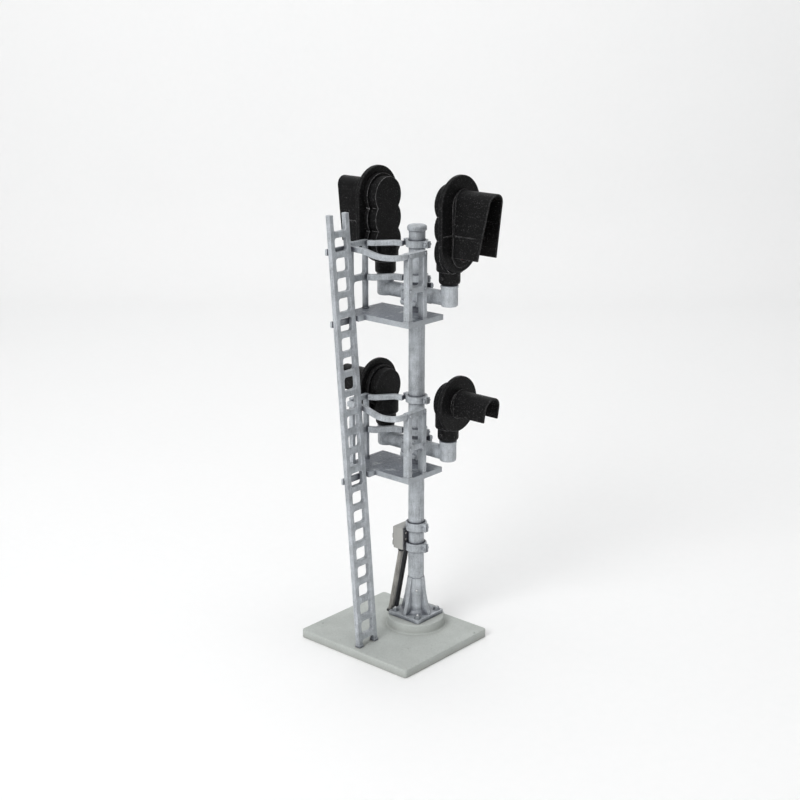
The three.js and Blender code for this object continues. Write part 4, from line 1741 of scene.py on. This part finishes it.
# ---------------------------------------------------------------------------- the studio
@dataclass
class Studio:
    """A pale floor that curves up into a wall, soft lights and the camera."""

    camera_place: Point = (168.9, -196.6, 122.75)
    camera_target: Point = (-10.21, 7.04, 42.18)
    lens: float = 66.87
    wall_distance: float = 318.0
    wall_height: float = 900.0
    sweep: float = 36.0
    floor_wide: float = 900.0
    floor_deep: float = 800.0
    surround: float = 0.3
    seen_surround: float = 0.93

    @property
    def away(self) -> Vector:
        """The level direction in which the camera looks."""
        look = Vector(self.camera_target) - Vector(self.camera_place)
        return Vector((look.x, look.y, 0)).normalized()

    def build(self) -> None:
        """Set up the camera, the backdrop and the lights."""
        self.build_camera()
        self.build_backdrop()
        self.build_world()
        self.build_lights()

    def aimed(self, item: bpy.types.Object, place: Sequence[float], target: Sequence[float]) -> None:
        """Add a camera or a light to the scene, looking at a point.

        Args:
            item: The camera or light.
            place: Where it stands, in millimetres.
            target: What it looks at, in millimetres.
        """
        bpy.context.scene.collection.objects.link(item)
        item.location = Vector(place) * MM
        item.rotation_mode = "QUATERNION"
        item.rotation_quaternion = (Vector(target) - Vector(place)).to_track_quat("-Z", "Y")

    def build_camera(self) -> None:
        """A long lens a little above the platforms."""
        data = bpy.data.cameras.new("camera")
        data.lens = self.lens
        data.sensor_width = 36.0
        data.clip_start = 0.005
        data.clip_end = 20.0
        camera = bpy.data.objects.new("camera", data)
        self.aimed(camera, self.camera_place, self.camera_target)
        bpy.context.scene.camera = camera

    def build_backdrop(self) -> None:
        """A wide floor whose far side sweeps up into a wall."""
        bpy.ops.mesh.primitive_plane_add(size=1)
        floor = bpy.context.active_object
        floor.name = "studio_floor"
        floor.scale = (self.floor_wide, self.floor_deep, 1)
        floor.location = (0, self.wall_distance - self.floor_deep / 2, 0)
        applied(floor)
        with shaping(floor, Pick.EDGES):
            choose(Pick.EDGES, lambda e: min(v.co.y for v in e.verts) > 0)
            bpy.ops.mesh.extrude_edges_move(
                TRANSFORM_OT_translate={"value": (0, 0, self.wall_height)})
            choose(Pick.EDGES, lambda e: (
                min(v.co.y for v in e.verts) > 0 and max(v.co.z for v in e.verts) < 1))
            bpy.ops.mesh.bevel(offset=self.sweep, segments=16)
        moved(floor, (0, 0, 0), (0, 0, math.degrees(math.atan2(-self.away.x, self.away.y))))
        floor.scale = (MM,) * 3
        applied(floor)
        bpy.ops.object.shade_smooth()
        floor.data.materials.append(self.paper())

    def paper(self) -> bpy.types.Material:
        """Matt white paper with the faintest mottling.

        Returns:
            The material.
        """
        sheet = Sheet("studio paper")
        tone, _ = sheet.grained(fine=0.5, broad=0.01)
        sheet.feed("Base Color", sheet.blend(tone, (0.93, 0.935, 0.935), (0.95, 0.95, 0.95)))
        sheet.shader.inputs["Roughness"].default_value = 0.9
        sheet.shader.inputs["Specular IOR Level"].default_value = 0.1
        return sheet.material

    def build_world(self) -> None:
        """White surroundings that light softly and are seen a little brighter."""
        world = bpy.data.worlds.new("white room")
        world.use_nodes = True
        tree = world.node_tree
        lit = tree.nodes["Background"]
        lit.inputs["Color"].default_value = (1.0, 1.0, 1.0, 1.0)
        lit.inputs["Strength"].default_value = self.surround
        seen = tree.nodes.new("ShaderNodeBackground")
        seen.inputs["Color"].default_value = (*(self.seen_surround,) * 3, 1.0)
        path = tree.nodes.new("ShaderNodeLightPath")
        choice = tree.nodes.new("ShaderNodeMixShader")
        for index, socket in enumerate((path.outputs["Is Camera Ray"], lit.outputs[0], seen.outputs[0])):
            tree.links.new(socket, choice.inputs[index])
        tree.links.new(choice.outputs[0], tree.nodes["World Output"].inputs["Surface"])
        bpy.context.scene.world = world
        bpy.context.scene.view_settings.view_transform = "Standard"

    def build_lights(self) -> None:
        """A big soft key from the ladder's side, a gentle fill, a top light and a wall wash."""
        wash_place = self.away * 90 + Vector((0, 0, 420))
        wash_target = self.away * 330 + Vector((0, 0, 90))
        for name, place, target, size, power in (
            ("key", (40, -430, 330), (0, -3, 45), 300, 1.55),
            ("fill", (330, -160, 160), (0, -3, 45), 280, 0.18),
            ("top", (0, 20, 480), (0, 0, 0), 400, 0.3),
            ("wall wash", wash_place, wash_target, 420, 0.5),
        ):
            data = bpy.data.lights.new(name, "AREA")
            data.shape = "DISK"
            data.size = size * MM
            data.energy = power
            self.aimed(bpy.data.objects.new(name, data), place, target)


def main() -> None:
    """Build the studio and every sub-assembly."""
    logging.basicConfig(level=logging.INFO, format="%(message)s")
    parts = [
        Studio(), GroundBase(), MastColumn(), JunctionBox(), Ladder(),
        *[Platform(level) for level in Level], *heads()]
    for part in parts:
        part.build()
        log.info("%s is done", type(part).__name__)


if __name__ == "__main__":
    main()
